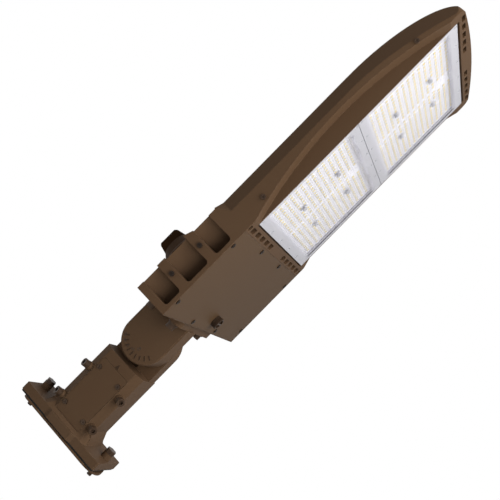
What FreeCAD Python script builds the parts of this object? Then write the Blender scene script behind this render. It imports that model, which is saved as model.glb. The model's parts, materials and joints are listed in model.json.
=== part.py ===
import FreeCAD, Part
import math
import os

# Shoebox area light: a long flat head on a tilting knuckle, with a short arm that bolts to a pole.
# Millimetres. +X runs from the pole out along the arm to the head's tip, +Z is up and the lamps
# face down. The origin is at the crown of the bowed pole plate, on the arm's axis.

V = FreeCAD.Vector
X_AXIS = V(1, 0, 0)
Y_AXIS = V(0, 1, 0)
Z_AXIS = V(0, 0, 1)

# ---- shared allowances -------------------------------------------------------------------------
over = 1.0                      # cutters run this far past a face, joined shapes into each other
hole_clearance = 0.3            # round a screw or a seated piece
blind_wall = 1.0                # metal left beyond the bottom of a blind hole
hole_bottom = 0.5               # space beyond a screw's end
pad_inset = 1.0                 # a pad's edge behind the edge of what it seals

# ---- pole plate, pad and flange ---------------------------------------------------------------
plate_thick = 3.5
plate_bow = 5.5                 # the plate's crown stands this far out from its long edges
plate_end_radius = 60.0         # the arc of its top and bottom ends
pad_thick = 2.5
flange_width = 84.0
flange_height = 162.0
flange_edge = 13.0              # thickness of the flange's rim
flange_corner = 2.0
flange_rise = 11.0              # the slope round the arm's root stands this far out from the rim
slope_foot_half = 46.0          # half its height at the rim
slope_top_half = 40.0           # and where it meets the arm
slope_side = 9.0                # how far it leans in at each side
slope_bevel = 8.0
lug_height = 56.0               # raised block on each side of the flange
lug_proud = 4.0
lug_bevel = 6.0
pole_bolt_pitch = 140.0
pole_bolt_radius = 4.0
pole_thread_radius = 3.6        # the free end, drawn at its thread's pitch line
pole_bolt_reach = 9.0           # free end beyond the plate's crown
pole_boss_radius = 7.5
pole_boss_proud = 9.0           # boss face beyond the flange's rim
gusset = 8.5

# ---- arm ---------------------------------------------------------------------------------------
arm_half = 38.0                 # half of the octagon's width and height
arm_bevel = 11.5
arm_length = 134.0              # flange's back to the cut end
arm_end_wall = 7.0
socket_radius = 31.0            # takes a 60.3 mm tube
layer_clearance = 1.5           # the plate and pad open this much wider than the socket
clamp_from_flange = 36.5        # first pair of clamp bolts
clamp_pitch = 56.0
clamp_radius = 4.0
clamp_boss_radius = 6.5
clamp_boss_height = 5.0
clamp_tip_back = 0.6            # bolt tips stay this far out of the socket
boss_root = 3.0                 # how deep a boss is rooted in the wall under it
hatch_from_flange = 18.5
hatch_length = 100.0
hatch_height = 51.0
hatch_thick = 3.0
hatch_pad = 1.0
hatch_corner = 4.0
hatch_screw_margin_x = 15.0
hatch_screw_margin_z = 5.0
hatch_screw_depth = 6.0
hand_hole_length = 52.0
hand_hole_height = 28.0
pointer_length = 7.0
pointer_height = 6.0
pointer_from_end = 14.0
mark_proud = 0.5

# ---- knuckle -----------------------------------------------------------------------------------
knuckle_radius = 37.0
knuckle_gap = 7.2               # cut end of the arm to the disc's rim
lap_gap = 2.0                   # between the two lapped halves, filled by the friction ring
lap_ring_inner = 25.0
lap_ring_outer = 35.0
pivot_radius = 6.0
pivot_clearance = 0.05
pivot_head_radius = 9.0
pivot_head_height = 9.6
pivot_washer_radius = 12.0
pivot_end_wall = 8.0            # between the bolt's end and the dial's face
pivot_boss_radius = 13.0
lead_groove_outer = 22.0        # round the pivot, for the supply leads
lead_groove_depth = 8.0
lead_slot = 16.0
lead_slot_join = 2.0            # how far the straight slots run into the ring groove
disc_chamfer = 1.5
scale_step = 15.0               # degrees between ticks
scale_reach = 60.0              # degrees either side of level
tick_inner = 24.0
tick_outer = 31.0
tick_width = 1.6
pivot_to_box = 62.3
knuckle_pad = 1.0
knuckle_plate_thick = 10.0
knuckle_plate_width = 150.0
knuckle_plate_top = 30.0
knuckle_plate_bottom = 35.0
knuckle_plate_corner = 9.0
knuckle_rib_rise = 2.0          # across, for each step along
tongue_clearance = 3.0          # left between the tongue's round end and that rib
knuckle_screw_y = 64.5
knuckle_screw_z = 21.0
knuckle_screw_radius = 4.0
knuckle_screw_boss = 8.0
knuckle_screw_boss_proud = 2.0
lead_hole_radius = 9.0

# ---- head --------------------------------------------------------------------------------------
head_drop = 38.7                # the lamp face below the arm's axis
head_half = 181.0
box_length = 143.0
box_height = 50.5
strip_length = 26.0             # from the box to the lamp panels
rear_wall = 13.0
front_wall = 7.0
roof_thick = 4.0
pocket_depth = 24.0             # at the pockets' floor
pocket_lip = 2.5                # depth left at their top, where the back wall has leant out
pocket_wall = 4.0
pocket_floor = 5.6
pocket_corner = 5.0
pocket_starts = (11.0, 52.0, 103.0)
pocket_widths = (27.0, 37.0, 28.0)
rib_rises = ((2.1, 2.1), (5.5, 0.5))    # how far each rib stands above the roof: rear, front
hump_half = 84.0                # half-width of the raised middle of the box's roof, at its top
hump_spread = 44.0              # how much wider it is at its foot, each side
hump_top = 40.0                 # above the arm's axis
hump_wall = 4.0
hump_front = 40.0               # length of its sloped front
cover_thick = 3.0
cover_inset_side = 3.0
cover_inset_rear = 1.0
cover_overhang = 6.8            # past the box's front
cover_gap = 0.3
cover_corner = 2.0
cover_blind_wall = 0.6          # between a cover screw's hole and a pocket's floor
cover_pad_width = 2.0
cover_pad_depth = 1.5
cover_pad_offset = 1.2
cover_pad_slack = 0.1           # each side of the pad in its groove
cover_screw_y = 60.0
cover_screw_edge = 5.0          # screws to the cover's ends
cover_screw_rear = 6.5          # screws to its rear edge
cover_screw_front = 5.8         # screws to its front edge
cover_corner_screws = (25.0, 126.0)

panel_length = 366.0
panel_half = 157.0
panel_gap_rear = 2.5
panel_gap_front = 4.0
panel_side_gap = 0.5
module_seam = 0.8
lens_height = 6.0
lens_face = 2.2
lens_rim = 9.0
lens_pad = 1.0
lens_seal_inset = 0.5
board_thick = 1.6
board_gap = 1.2
block_wall = 2.0                # thin lip round the lamp panels
deck_thick = 5.0
head_top = 52.0
tip_reach = 25.0                # from the panels to the middle of the tip
tip_lip = 2.5
nose_length = 152.0             # length of the rounded fall to the tip
bow_sagitta = 9.0
corner_radius = 15.0
crease_height = 32.6
crease_level = 210.0            # the crease runs level this far along the panels
crease_end = 378.0
crease_power = 1.7
shoulder_in = 11.0
shoulder_start = 13.0
arch_length = 355.0
arch_rise = 25.0
fin_pitch = 27.0
fin_first = 32.5
fin_count = 5
fin_thick = 3.0
spine_half = 7.0
channel_back = 4.0
channel_stop = 6.0              # beyond the panels
vent_length = 18.5
vent_rear_width = 8.3
vent_rear_from_box = 14.3
vent_tip_width = 6.5
vent_tip_from_panel = 11.7
outer_vent_y = 173.5
outer_vent_length = 9.0
outer_vent_depth = 6.0
lead_bore_radius = 3.5
lead_bore_height = 20.0

# ---- fasteners ---------------------------------------------------------------------------------
m8_head_radius = 6.5
m8_head_height = 8.0
hex_head_across = 13.0
hex_head_height = 5.3
washer_thick = 1.6
clamp_head_radius = 6.0
m4_radius = 2.0
m4_head_radius = 3.6
m4_head_height = 2.4
m3_radius = 1.5
m3_head_radius = 2.7
m3_head_height = 1.6
side_screw_length = 12.0
side_screw_height = 30.0
wing_screw_height = 14.5
wing_screws = (28.7, 309.0)

# ---- twist-lock receptacle and photocell --------------------------------------------------------
socket_from_rear = 60.4
socket_pad_thick = 1.5
key_depth = 0.45                # of a screw's head, for its hexagonal key
receptacle_radius = 33.0
receptacle_height = 13.0
receptacle_stem_radius = 15.0
receptacle_stem_depth = 14.0
receptacle_screw_circle = 25.0
receptacle_screw_sink = 1.0
receptacle_chamfer = 1.5
blade_count = 3
blade_root = 2.0                # how deep the blades sit in the cap
blade_circle = 13.0
blade_thick = 1.8
blade_depth = 11.0
blade_sweep = 34.0              # degrees of arc
blade_clearance = 0.4
twist_angle = 20.0
cell_seal_thick = 2.0
cell_seal_outer = 31.0
cell_radius = 38.0
cell_skirt = 7.0
cell_shoulder_radius = 31.8
cell_shoulder_rise = 4.0
cell_neck_radius = 21.0
cell_neck_rise = 13.5
cell_top_radius = 17.5
cell_knob_height = 16.5
cell_grip_half = 7.0            # half the knob's thickness between its two flats
cell_top_round = 2.0

# ---- gear inside the box ------------------------------------------------------------------------
driver_length = 220.0
driver_width = 68.0
driver_height = 37.0
driver_tab = 14.0
driver_tab_thick = 2.0
driver_tab_inset = 17.0         # the tabs are this much narrower than the case, each side
driver_chamfer = 3.0
driver_from_front = 5.0
surge_size = (44.0, 52.0, 28.0)
surge_from_middle = 60.0
block_size = (30.0, 64.0, 18.0)
block_from_middle = 58.0
gear_foot_length = 9.0
gear_foot_height = 4.0
gear_screw_depth = 1.5          # into the cover
terminal_poles = 5
terminal_well_radius = 2.5
terminal_well_depth = 6.0
terminal_well_edge = 4.0        # the outer wells' middles to the case's ends
gear_from_rear = 3.0
plug_from_rear = 23.0
plug_y = 18.0
plug_radius = 9.5
plug_proud = 8.0
plug_stem_radius = 7.0
plug_stem_depth = 7.0
plug_chamfer = 1.0
plug_seal = 1.0
plug_flutes = 24
plug_flute_radius = 0.8
plug_grip_radius = 7.5          # the recess in its end
plug_grip_depth = 5.0
plug_grip_bar = 2.5             # the bar left across that recess
connector_size = (8.0, 16.0, 2.8)
module_screw_x = (0.33, 0.70)   # along the module, as shares of its own length
module_screw_y = 50.0
module_boss_radius = 6.0
head_sunk = 0.2                 # lens screws' heads below the lens's face
edge_screw_inset = 4.5
edge_screws_across = 6
edge_screws_along = 3


# ---- stations and levels worked out from the sizes ----------------------------------------------
flange_back = plate_bow + plate_thick + pad_thick
flange_front = flange_back + flange_edge
flange_land = flange_front + flange_rise
pole_boss_face = flange_front + pole_boss_proud
arm_end = flange_back + arm_length
hatch_x0 = flange_back + hatch_from_flange
hatch_x1 = hatch_x0 + hatch_length
hatch_seat = -arm_half + hatch_thick + hatch_pad
pivot_x = arm_end + knuckle_gap + knuckle_radius
box_x0 = pivot_x + pivot_to_box
box_x1 = box_x0 + box_length
panel_x0 = box_x1 + strip_length
panel_x1 = panel_x0 + panel_length
tip_x = panel_x1 + tip_reach
face_z = -head_drop
seat_z = face_z + lens_height + lens_pad
deck_z = seat_z + deck_thick
top_z = face_z + head_top
box_top = face_z + box_height
cavity_x0 = box_x0 + rear_wall
cavity_x1 = box_x1 - front_wall
cavity_half = head_half - pocket_depth - pocket_wall
cover_z = face_z + cover_thick
cover_x0 = box_x0 + cover_inset_rear
cover_x1 = box_x1 + cover_overhang
cover_half = head_half - cover_inset_side
bow_half = head_half - corner_radius
bow_radius = (bow_half ** 2 + bow_sagitta ** 2) / (2 * bow_sagitta)
bow_x = tip_x - bow_radius
module_length = (panel_length - module_seam) / 2
block_half = panel_half + panel_side_gap + block_wall
lap_far = lap_gap / 2
lap_near = -lap_gap / 2
knuckle_plate_x0 = box_x0 - knuckle_pad - knuckle_plate_thick
receptacle_x = box_x0 + socket_from_rear
receptacle_z = hump_top + socket_pad_thick
cell_z = receptacle_z + receptacle_height
scale_ticks = int(scale_reach // scale_step)


# ---- shapes --------------------------------------------------------------------------------------
def block(x0, x1, y0, y1, z0, z1):
    """A box between two corners."""
    return Part.makeBox(x1 - x0, y1 - y0, z1 - z0, V(x0, y0, z0))


def rod(radius, start, end):
    """A cylinder from one point to another."""
    return Part.makeCylinder(radius, (end - start).Length, start, end - start)


def tube(outer, inner, start, end):
    """A ring or pipe from one point to another."""
    return rod(outer, start, end).cut(rod(inner, start, end))


def polygon(points):
    """A closed outline through the points."""
    return Part.makePolygon([V(*p) for p in points] + [V(*points[0])])


def prism(points, direction):
    """A polygon pushed along a vector."""
    return Part.Face(polygon(points)).extrude(direction)


def fused(shapes):
    """One solid from several that overlap or meet."""
    whole = shapes[0].multiFuse(shapes[1:]) if len(shapes) > 1 else shapes[0]
    return whole.removeSplitter()


def rounded_plate(x0, x1, y0, y1, z0, z1, radius, axis):
    """A box whose four edges along one axis (X, Y or Z) are rounded."""
    body = block(x0, x1, y0, y1, z0, z1)
    edges = []
    for edge in body.Edges:
        along = edge.Vertexes[1].Point - edge.Vertexes[0].Point
        if along.normalize().cross(axis).Length < 1e-6:
            edges.append(edge)
    return body.makeFillet(radius, edges)


def hexagon(across, start, end):
    """A hexagonal bar of the given width across its flats."""
    corner = across / math.sqrt(3)
    points = [(corner * math.cos(a), corner * math.sin(a), 0)
              for a in [i * math.pi / 3 for i in range(6)]]
    bar = prism(points, V(0, 0, (end - start).Length))
    bar.Placement = FreeCAD.Placement(start, FreeCAD.Rotation(Z_AXIS, end - start))
    return bar


def socket_screw(seat, inward, shank, radius, head_radius, head_height):
    """A round-headed screw: its head stands on the seat and its shank goes inward."""
    way = V(inward).normalize()
    top = seat - way * head_height
    body = fused([rod(head_radius, top, seat),
                  rod(radius, seat - way * head_height / 2, seat + way * shank)])
    key = hexagon(head_radius, top, top + way * head_height * key_depth)
    return body.cut(key)


def washer(seat, outward, outer, inner, thick):
    """A flat ring that lies on the seat."""
    way = V(outward).normalize()
    return tube(outer, inner, seat, seat + way * thick)


def octagon(half_y, half_z, bevel_y, bevel_z, x):
    """The eight corners of a bevelled rectangle across the arm's axis."""
    return [(x, -half_y, -half_z + bevel_z), (x, -half_y + bevel_y, -half_z),
            (x, half_y - bevel_y, -half_z), (x, half_y, -half_z + bevel_z),
            (x, half_y, half_z - bevel_z), (x, half_y - bevel_y, half_z),
            (x, -half_y + bevel_y, half_z), (x, -half_y, half_z - bevel_z)]


def mirrored(shape):
    """The same shape on the other side of the light's middle plane."""
    return shape.mirror(V(0, 0, 0), Y_AXIS)


def both_sides(shape):
    """A shape and its mirror image."""
    return [shape, mirrored(shape)]


def pole_bolt_heights():
    return (pole_bolt_pitch / 2, -pole_bolt_pitch / 2)


# ---- pole plate, pad, bolts ----------------------------------------------------------------------
def end_arcs(width, height, x0, x1):
    """An upright outline with straight sides and arched ends, pushed along X."""
    half = width / 2
    rise = plate_end_radius - math.sqrt(plate_end_radius ** 2 - half ** 2)
    side = height / 2 - rise
    corners = [V(x0, -half, side), V(x0, half, side), V(x0, half, -side), V(x0, -half, -side)]
    wire = Part.Wire([
        Part.Arc(corners[0], V(x0, 0, height / 2), corners[1]).toShape(),
        Part.LineSegment(corners[1], corners[2]).toShape(),
        Part.Arc(corners[2], V(x0, 0, -height / 2), corners[3]).toShape(),
        Part.LineSegment(corners[3], corners[0]).toShape()])
    return Part.Face(wire).extrude(V(x1 - x0, 0, 0))


def pole_openings(x0, x1, middle_hole, bolt_hole):
    """What every layer at the pole lets through: the tube or the leads, and two bolts."""
    holes = [rod(middle_hole, V(x0, 0, 0), V(x1, 0, 0))]
    for z in pole_bolt_heights():
        holes.append(rod(bolt_hole, V(x0, 0, z), V(x1, 0, z)))
    return holes


def pole_plate():
    """A bowed strip of constant thickness, its crown away from the arm."""
    half = flange_width / 2
    low = -flange_height / 2
    wire = Part.Wire([
        Part.Arc(V(plate_bow, -half, low), V(0, 0, low), V(plate_bow, half, low)).toShape(),
        Part.LineSegment(V(plate_bow, half, low), V(plate_bow + plate_thick, half, low)).toShape(),
        Part.Arc(V(plate_bow + plate_thick, half, low), V(plate_thick, 0, low),
                 V(plate_bow + plate_thick, -half, low)).toShape(),
        Part.LineSegment(V(plate_bow + plate_thick, -half, low), V(plate_bow, -half, low)).toShape()])
    bowed = Part.Face(wire).extrude(V(0, 0, flange_height))
    outline = end_arcs(flange_width, flange_height, -over, flange_back)
    plate = bowed.common(outline)
    return plate.cut(pole_openings(-over, flange_back, socket_radius + layer_clearance,
                                   pole_bolt_radius + hole_clearance))


def pole_pad():
    """The flat seal between the bowed plate and the flange."""
    x0 = flange_back - pad_thick
    points = octagon(flange_width / 2 - pad_inset, flange_height / 2 - pad_inset,
                     flange_corner, flange_corner, x0)
    pad = prism(points, V(pad_thick, 0, 0))
    return pad.cut(pole_openings(x0 - over, flange_back + over, socket_radius + layer_clearance,
                                 pole_bolt_radius + hole_clearance))


def pole_bolts():
    """Hex bolts through the flange, pad and plate; their free ends stand out at the pole."""
    bolts = []
    for z in pole_bolt_heights():
        seat = V(pole_boss_face + washer_thick, 0, z)
        head = hexagon(hex_head_across, seat, seat + X_AXIS * hex_head_height)
        shank = rod(pole_bolt_radius, V(0, 0, z), seat + X_AXIS * over)
        thread = rod(pole_thread_radius, V(-pole_bolt_reach, 0, z), V(over, 0, z))
        bolts.append(fused([head, shank, thread]))
    return Part.makeCompound(bolts)


def pole_washers():
    return Part.makeCompound([
        washer(V(pole_boss_face, 0, z), X_AXIS, pole_boss_radius,
               pole_bolt_radius + hole_clearance, washer_thick) for z in pole_bolt_heights()])


# ---- arm -----------------------------------------------------------------------------------------
def clamp_places():
    """Each clamp bolt's station along the arm and its outward direction."""
    first = flange_back + clamp_from_flange
    return [(x, V(0, -1, up).normalize())
            for x in (first, first + clamp_pitch) for up in (-1, 1)]


def bevel_distance():
    """From the arm's axis to the middle of a bevel."""
    return (2 * arm_half - arm_bevel) / math.sqrt(2)


def flange():
    """The arm's foot: a rim, a slope up to the arm, a lug on each side and bosses for the bolts."""
    rim = octagon(flange_width / 2, flange_height / 2, flange_corner, flange_corner, flange_back)
    foot = octagon(flange_width / 2, slope_foot_half, slope_bevel, slope_bevel, flange_front)
    top = octagon(flange_width / 2 - slope_side, slope_top_half, slope_bevel, slope_bevel,
                  flange_land)
    base = prism(rim, V(flange_edge, 0, 0))
    slope = Part.makeLoft([polygon(foot), polygon(top)], True, True)
    pieces = [base, slope]
    half = flange_width / 2
    lug = [(flange_back, -half + over, -lug_height / 2), (flange_back, -half, -lug_height / 2),
           (flange_back, -half - lug_proud, -lug_height / 2 + lug_bevel),
           (flange_back, -half - lug_proud, lug_height / 2 - lug_bevel),
           (flange_back, -half, lug_height / 2), (flange_back, -half + over, lug_height / 2)]
    pieces += both_sides(prism(lug, V(flange_edge, 0, 0)))
    for z in pole_bolt_heights():
        pieces.append(rod(pole_boss_radius, V(flange_back, 0, z), V(pole_boss_face, 0, z)))
    for up in (1, -1):
        root = up * (arm_half - over)
        corner = [(flange_front, 0, root), (flange_front, 0, up * (arm_half + gusset)),
                  (flange_land + gusset, 0, up * arm_half), (flange_land + gusset, 0, root)]
        wedge = prism(corner, V(0, 2 * (arm_half - arm_bevel), 0))
        wedge.translate(V(0, arm_bevel - arm_half, 0))
        pieces.append(wedge)
    return fused(pieces)


def tongue():
    """The far half of the arm carried on to the pivot, with a rounded and bevelled end."""
    flat = arm_half - arm_bevel
    radius = knuckle_radius
    section = [(arm_end - arm_end_wall, lap_far, -radius), (arm_end - arm_end_wall, flat, -radius),
               (arm_end - arm_end_wall, arm_half, arm_bevel - radius),
               (arm_end - arm_end_wall, arm_half, radius - arm_bevel),
               (arm_end - arm_end_wall, flat, radius), (arm_end - arm_end_wall, lap_far, radius)]
    bar = prism(section, V(pivot_x - arm_end + arm_end_wall, 0, 0))
    disc = rod(radius, V(pivot_x, lap_far, 0), V(pivot_x, flat, 0))
    cone = Part.makeCone(radius, radius - arm_bevel, arm_bevel, V(pivot_x, flat, 0), Y_AXIS)
    return fused([bar, disc, cone])


def lead_way(lap, side):
    """The ring groove round the pivot that the leads follow in a lapped half."""
    start = V(pivot_x, lap - side, 0)
    return tube(lead_groove_outer, pivot_boss_radius, start,
                V(pivot_x, lap + side * lead_groove_depth, 0))


def mount_arm():
    """The arm's casting: flange, octagonal body and tongue, hollow for the tube and the leads."""
    body = prism(octagon(arm_half, arm_half, arm_bevel, arm_bevel, flange_back),
                 V(arm_length, 0, 0))
    pieces = [flange(), body, tongue()]
    for x, way in clamp_places():
        start = V(x, 0, 0) + way * (bevel_distance() - boss_root)
        pieces.append(rod(clamp_boss_radius, start, start + way * (boss_root + clamp_boss_height)))
    arm = fused(pieces)

    cuts = pole_openings(flange_back - over, arm_end - arm_end_wall, socket_radius,
                         pole_bolt_radius + hole_clearance)
    for x, way in clamp_places():
        cuts.append(rod(clamp_radius, V(x, 0, 0) + way * (socket_radius - over),
                        V(x, 0, 0) + way * (bevel_distance() + clamp_boss_height + over)))
    seat = rounded_plate(hatch_x0 - hole_clearance, hatch_x1 + hole_clearance,
                         -arm_half - over, hatch_seat,
                         -hatch_height / 2 - hole_clearance, hatch_height / 2 + hole_clearance,
                         hatch_corner, Y_AXIS)
    middle = (hatch_x0 + hatch_x1) / 2
    opening = rounded_plate(middle - hand_hole_length / 2, middle + hand_hole_length / 2,
                            -arm_half, -socket_radius / 2,
                            -hand_hole_height / 2, hand_hole_height / 2, hatch_corner, Y_AXIS)
    cuts += [seat, opening]
    for x, z in hatch_screw_places():
        cuts.append(rod(m4_radius, V(x, -arm_half, z),
                        V(x, hatch_seat + hatch_screw_depth + hole_bottom, z)))
    cuts.append(rod(pivot_radius + pivot_clearance, V(pivot_x, 0, 0), V(pivot_x, arm_half + over, 0)))
    cuts.append(lead_way(lap_far, 1))
    cuts.append(block(arm_end - arm_end_wall - over, pivot_x - pivot_boss_radius - lead_slot_join,
                      lap_far - over, lap_far + lead_groove_depth, -lead_slot / 2, lead_slot / 2))
    arm = arm.cut(cuts)

    tip = arm_end - pointer_from_end + pointer_length
    pointer = prism([(tip, over - arm_half, 0),
                     (tip - pointer_length, over - arm_half, pointer_height / 2),
                     (tip - pointer_length, over - arm_half, -pointer_height / 2)],
                    V(0, -over - mark_proud, 0))
    return fused([arm, pointer])


def hatch_screw_places():
    half = hatch_height / 2 - hatch_screw_margin_z
    return [(x, z) for x in (hatch_x0 + hatch_screw_margin_x, hatch_x1 - hatch_screw_margin_x)
            for z in (-half, half)]


def arm_hatch():
    """The plate over the hand hole in the arm's side."""
    plate = rounded_plate(hatch_x0, hatch_x1, -arm_half, -arm_half + hatch_thick,
                          -hatch_height / 2, hatch_height / 2, hatch_corner, Y_AXIS)
    cuts = []
    for x, z in hatch_screw_places():
        cuts.append(rod(m4_radius + hole_clearance, V(x, -arm_half - over, z), V(x, hatch_seat, z)))
        cuts.append(rod(m4_head_radius + hole_clearance, V(x, -arm_half - over, z),
                        V(x, -arm_half + m4_head_height / 2, z)))
    return plate.cut(cuts)


def arm_hatch_pad():
    """The seal under that plate, open over the hand hole."""
    y0 = -arm_half + hatch_thick
    half = hatch_height / 2 - pad_inset
    pad = rounded_plate(hatch_x0 + pad_inset, hatch_x1 - pad_inset, y0, hatch_seat, -half, half,
                        hatch_corner, Y_AXIS)
    middle = (hatch_x0 + hatch_x1) / 2
    half_length = hand_hole_length / 2 + pad_inset
    half_height = hand_hole_height / 2 + pad_inset
    cuts = [block(middle - half_length, middle + half_length, y0 - over, hatch_seat + over,
                  -half_height, half_height)]
    for x, z in hatch_screw_places():
        cuts.append(rod(m4_radius + hole_clearance, V(x, y0 - over, z), V(x, hatch_seat + over, z)))
    return pad.cut(cuts)


def arm_hatch_screws():
    """Their heads are half sunk into the plate."""
    seat = -arm_half + m4_head_height / 2
    return Part.makeCompound([
        socket_screw(V(x, seat, z), Y_AXIS, hatch_seat + hatch_screw_depth - seat, m4_radius,
                     m4_head_radius, m4_head_height) for x, z in hatch_screw_places()])


def clamp_bolts():
    """On the arm's two near bevels; they press the tube against the far side."""
    bolts = []
    for x, way in clamp_places():
        seat = V(x, 0, 0) + way * (bevel_distance() + clamp_boss_height)
        reach = bevel_distance() + clamp_boss_height - socket_radius - clamp_tip_back
        bolts.append(socket_screw(seat, way * -1, reach, clamp_radius, clamp_head_radius,
                                  m8_head_height))
    return Part.makeCompound(bolts)


# ---- knuckle -------------------------------------------------------------------------------------
def pivot_washer():
    return washer(V(pivot_x, arm_half, 0), Y_AXIS, pivot_washer_radius,
                  pivot_radius + hole_clearance, washer_thick)


def pivot_bolt():
    """It is screwed into the near half and turns in the far half."""
    seat = V(pivot_x, arm_half + washer_thick, 0)
    return socket_screw(seat, Y_AXIS * -1, washer_thick + 2 * arm_half - pivot_end_wall,
                        pivot_radius, pivot_head_radius, pivot_head_height)


def friction_ring():
    """It fills the lap between the two halves and holds the tilt."""
    return tube(lap_ring_outer, lap_ring_inner, V(pivot_x, lap_near, 0), V(pivot_x, lap_far, 0))


def knuckle_screw_places():
    return [(y, z) for y in (-knuckle_screw_y, knuckle_screw_y)
            for z in (-knuckle_screw_z, knuckle_screw_z)]


def scale_marks():
    """Raised ticks on the near disc's face, on the side towards the arm."""
    ticks = []
    for i in range(-scale_ticks, scale_ticks + 1):
        tick = block(pivot_x - tick_outer, pivot_x - tick_inner, -arm_half - mark_proud,
                     -arm_half + mark_proud, -tick_width / 2, tick_width / 2)
        tick.rotate(V(pivot_x, 0, 0), Y_AXIS, i * scale_step)
        ticks.append(tick)
    return ticks


def knuckle():
    """The near half-disc, its neck and the plate that bolts to the box."""
    disc = rod(knuckle_radius, V(pivot_x, -arm_half, 0), V(pivot_x, lap_near, 0))
    rim = [e for e in disc.Edges
           if abs(e.BoundBox.YMax + arm_half) < 1e-6 and e.Length > knuckle_radius]
    disc = disc.makeChamfer(disc_chamfer, rim)
    neck = block(pivot_x, knuckle_plate_x0 + over, -arm_half + disc_chamfer, lap_near,
                 -knuckle_radius, knuckle_radius)
    face = block(pivot_x, knuckle_plate_x0 + over, -arm_half, lap_near,
                 disc_chamfer - knuckle_radius, knuckle_radius - disc_chamfer)
    plate = rounded_plate(knuckle_plate_x0, knuckle_plate_x0 + knuckle_plate_thick,
                          -knuckle_plate_width / 2, knuckle_plate_width / 2,
                          -knuckle_plate_bottom, knuckle_plate_top, knuckle_plate_corner, X_AXIS)
    rib_run = knuckle_plate_x0 - pivot_x - knuckle_radius - tongue_clearance
    rib_low = -knuckle_screw_z / 2
    rib = prism([(knuckle_plate_x0 + over, lap_near - over, rib_low),
                 (knuckle_plate_x0 + over, knuckle_rib_rise * rib_run, rib_low),
                 (knuckle_plate_x0, knuckle_rib_rise * rib_run, rib_low),
                 (knuckle_plate_x0 - rib_run, lap_near, rib_low),
                 (knuckle_plate_x0 - rib_run, lap_near - over, rib_low)],
                V(0, 0, knuckle_screw_z))
    pieces = [disc, neck, face, plate, rib]
    for y, z in knuckle_screw_places():
        pieces.append(rod(knuckle_screw_boss, V(knuckle_plate_x0 - knuckle_screw_boss_proud, y, z),
                          V(knuckle_plate_x0 + over, y, z)))
    body = fused(pieces)
    middle = (lap_near - arm_half) / 2
    neck_start = pivot_x + pivot_boss_radius + lead_slot / 2
    cuts = [rod(pivot_radius, V(pivot_x, pivot_end_wall - arm_half, 0), V(pivot_x, over, 0)),
            lead_way(lap_near, -1),
            block(pivot_x + pivot_boss_radius + lead_slot_join, neck_start + lead_slot / 2,
                  lap_near - lead_groove_depth, lap_near + over, -lead_slot / 2, lead_slot / 2),
            rod(lead_hole_radius, V(neck_start, middle, 0), V(box_x0, middle, 0))]
    for y, z in knuckle_screw_places():
        cuts.append(rod(knuckle_screw_radius + hole_clearance,
                        V(knuckle_plate_x0 - knuckle_screw_boss_proud - over, y, z),
                        V(box_x0, y, z)))
    return fused([body.cut(cuts)] + scale_marks())


def knuckle_seal():
    """The pad between the knuckle's plate and the box."""
    x0 = box_x0 - knuckle_pad
    half = knuckle_plate_width / 2 - pad_inset
    pad = rounded_plate(x0, box_x0, -half, half, pad_inset - knuckle_plate_bottom,
                        knuckle_plate_top - pad_inset, knuckle_plate_corner, X_AXIS)
    middle = (lap_near - arm_half) / 2
    cuts = [rod(lead_hole_radius, V(x0 - over, middle, 0), V(box_x0 + over, middle, 0))]
    for y, z in knuckle_screw_places():
        cuts.append(rod(knuckle_screw_radius + hole_clearance, V(x0 - over, y, z),
                        V(box_x0 + over, y, z)))
    return pad.cut(cuts)


def knuckle_screws():
    """Through the plate and its pad into blind holes in the box's rear wall."""
    seat = knuckle_plate_x0 - knuckle_screw_boss_proud - washer_thick
    shank = cavity_x0 - blind_wall - hole_bottom - seat
    return Part.makeCompound([
        socket_screw(V(seat, y, z), X_AXIS, shank, knuckle_screw_radius, m8_head_radius,
                     m8_head_height) for y, z in knuckle_screw_places()])


def knuckle_washers():
    seat = knuckle_plate_x0 - knuckle_screw_boss_proud
    return Part.makeCompound([
        washer(V(seat, y, z), X_AXIS * -1, knuckle_screw_boss, knuckle_screw_radius + hole_clearance,
               washer_thick) for y, z in knuckle_screw_places()])


# ---- housing -------------------------------------------------------------------------------------
def nose_profile(back):
    """The head's side view: level, then a quarter ellipse down to the tip's lip."""
    start = tip_x - nose_length
    lip = face_z + tip_lip
    ellipse = Part.Ellipse(V(tip_x, 0, lip), V(start, 0, top_z), V(start, 0, lip))
    return Part.Wire([
        Part.LineSegment(V(back, 0, face_z), V(tip_x, 0, face_z)).toShape(),
        Part.LineSegment(V(tip_x, 0, face_z), V(tip_x, 0, lip)).toShape(),
        Part.ArcOfEllipse(ellipse, 0, math.pi / 2).toShape(),
        Part.LineSegment(V(start, 0, top_z), V(back, 0, top_z)).toShape(),
        Part.LineSegment(V(back, 0, top_z), V(back, 0, face_z)).toShape()])


def head_plan():
    """The head's outline from below: straight sides, round corners and a bowed front."""
    inner = head_half - corner_radius
    corner_x = bow_x + math.sqrt((bow_radius - corner_radius) ** 2 - inner ** 2)
    reach = V(corner_x - bow_x, inner, 0).normalize() * bow_radius
    meet = V(bow_x + reach.x, reach.y, face_z)
    centre = V(corner_x, inner, face_z)
    half_turn = (V(0, 1, 0) + V(reach).normalize()).normalize() * corner_radius
    bulge = centre + half_turn

    def low(point):
        return V(point.x, -point.y, point.z)

    side = V(corner_x, head_half, face_z)
    back = V(box_x1, head_half, face_z)
    wire = Part.Wire([
        Part.LineSegment(low(back), low(side)).toShape(),
        Part.Arc(low(side), low(bulge), low(meet)).toShape(),
        Part.Arc(low(meet), V(tip_x, 0, face_z), meet).toShape(),
        Part.Arc(meet, bulge, side).toShape(),
        Part.LineSegment(side, back).toShape(),
        Part.LineSegment(back, low(back)).toShape()])
    return Part.Face(wire).extrude(V(0, 0, head_top + 1))


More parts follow.
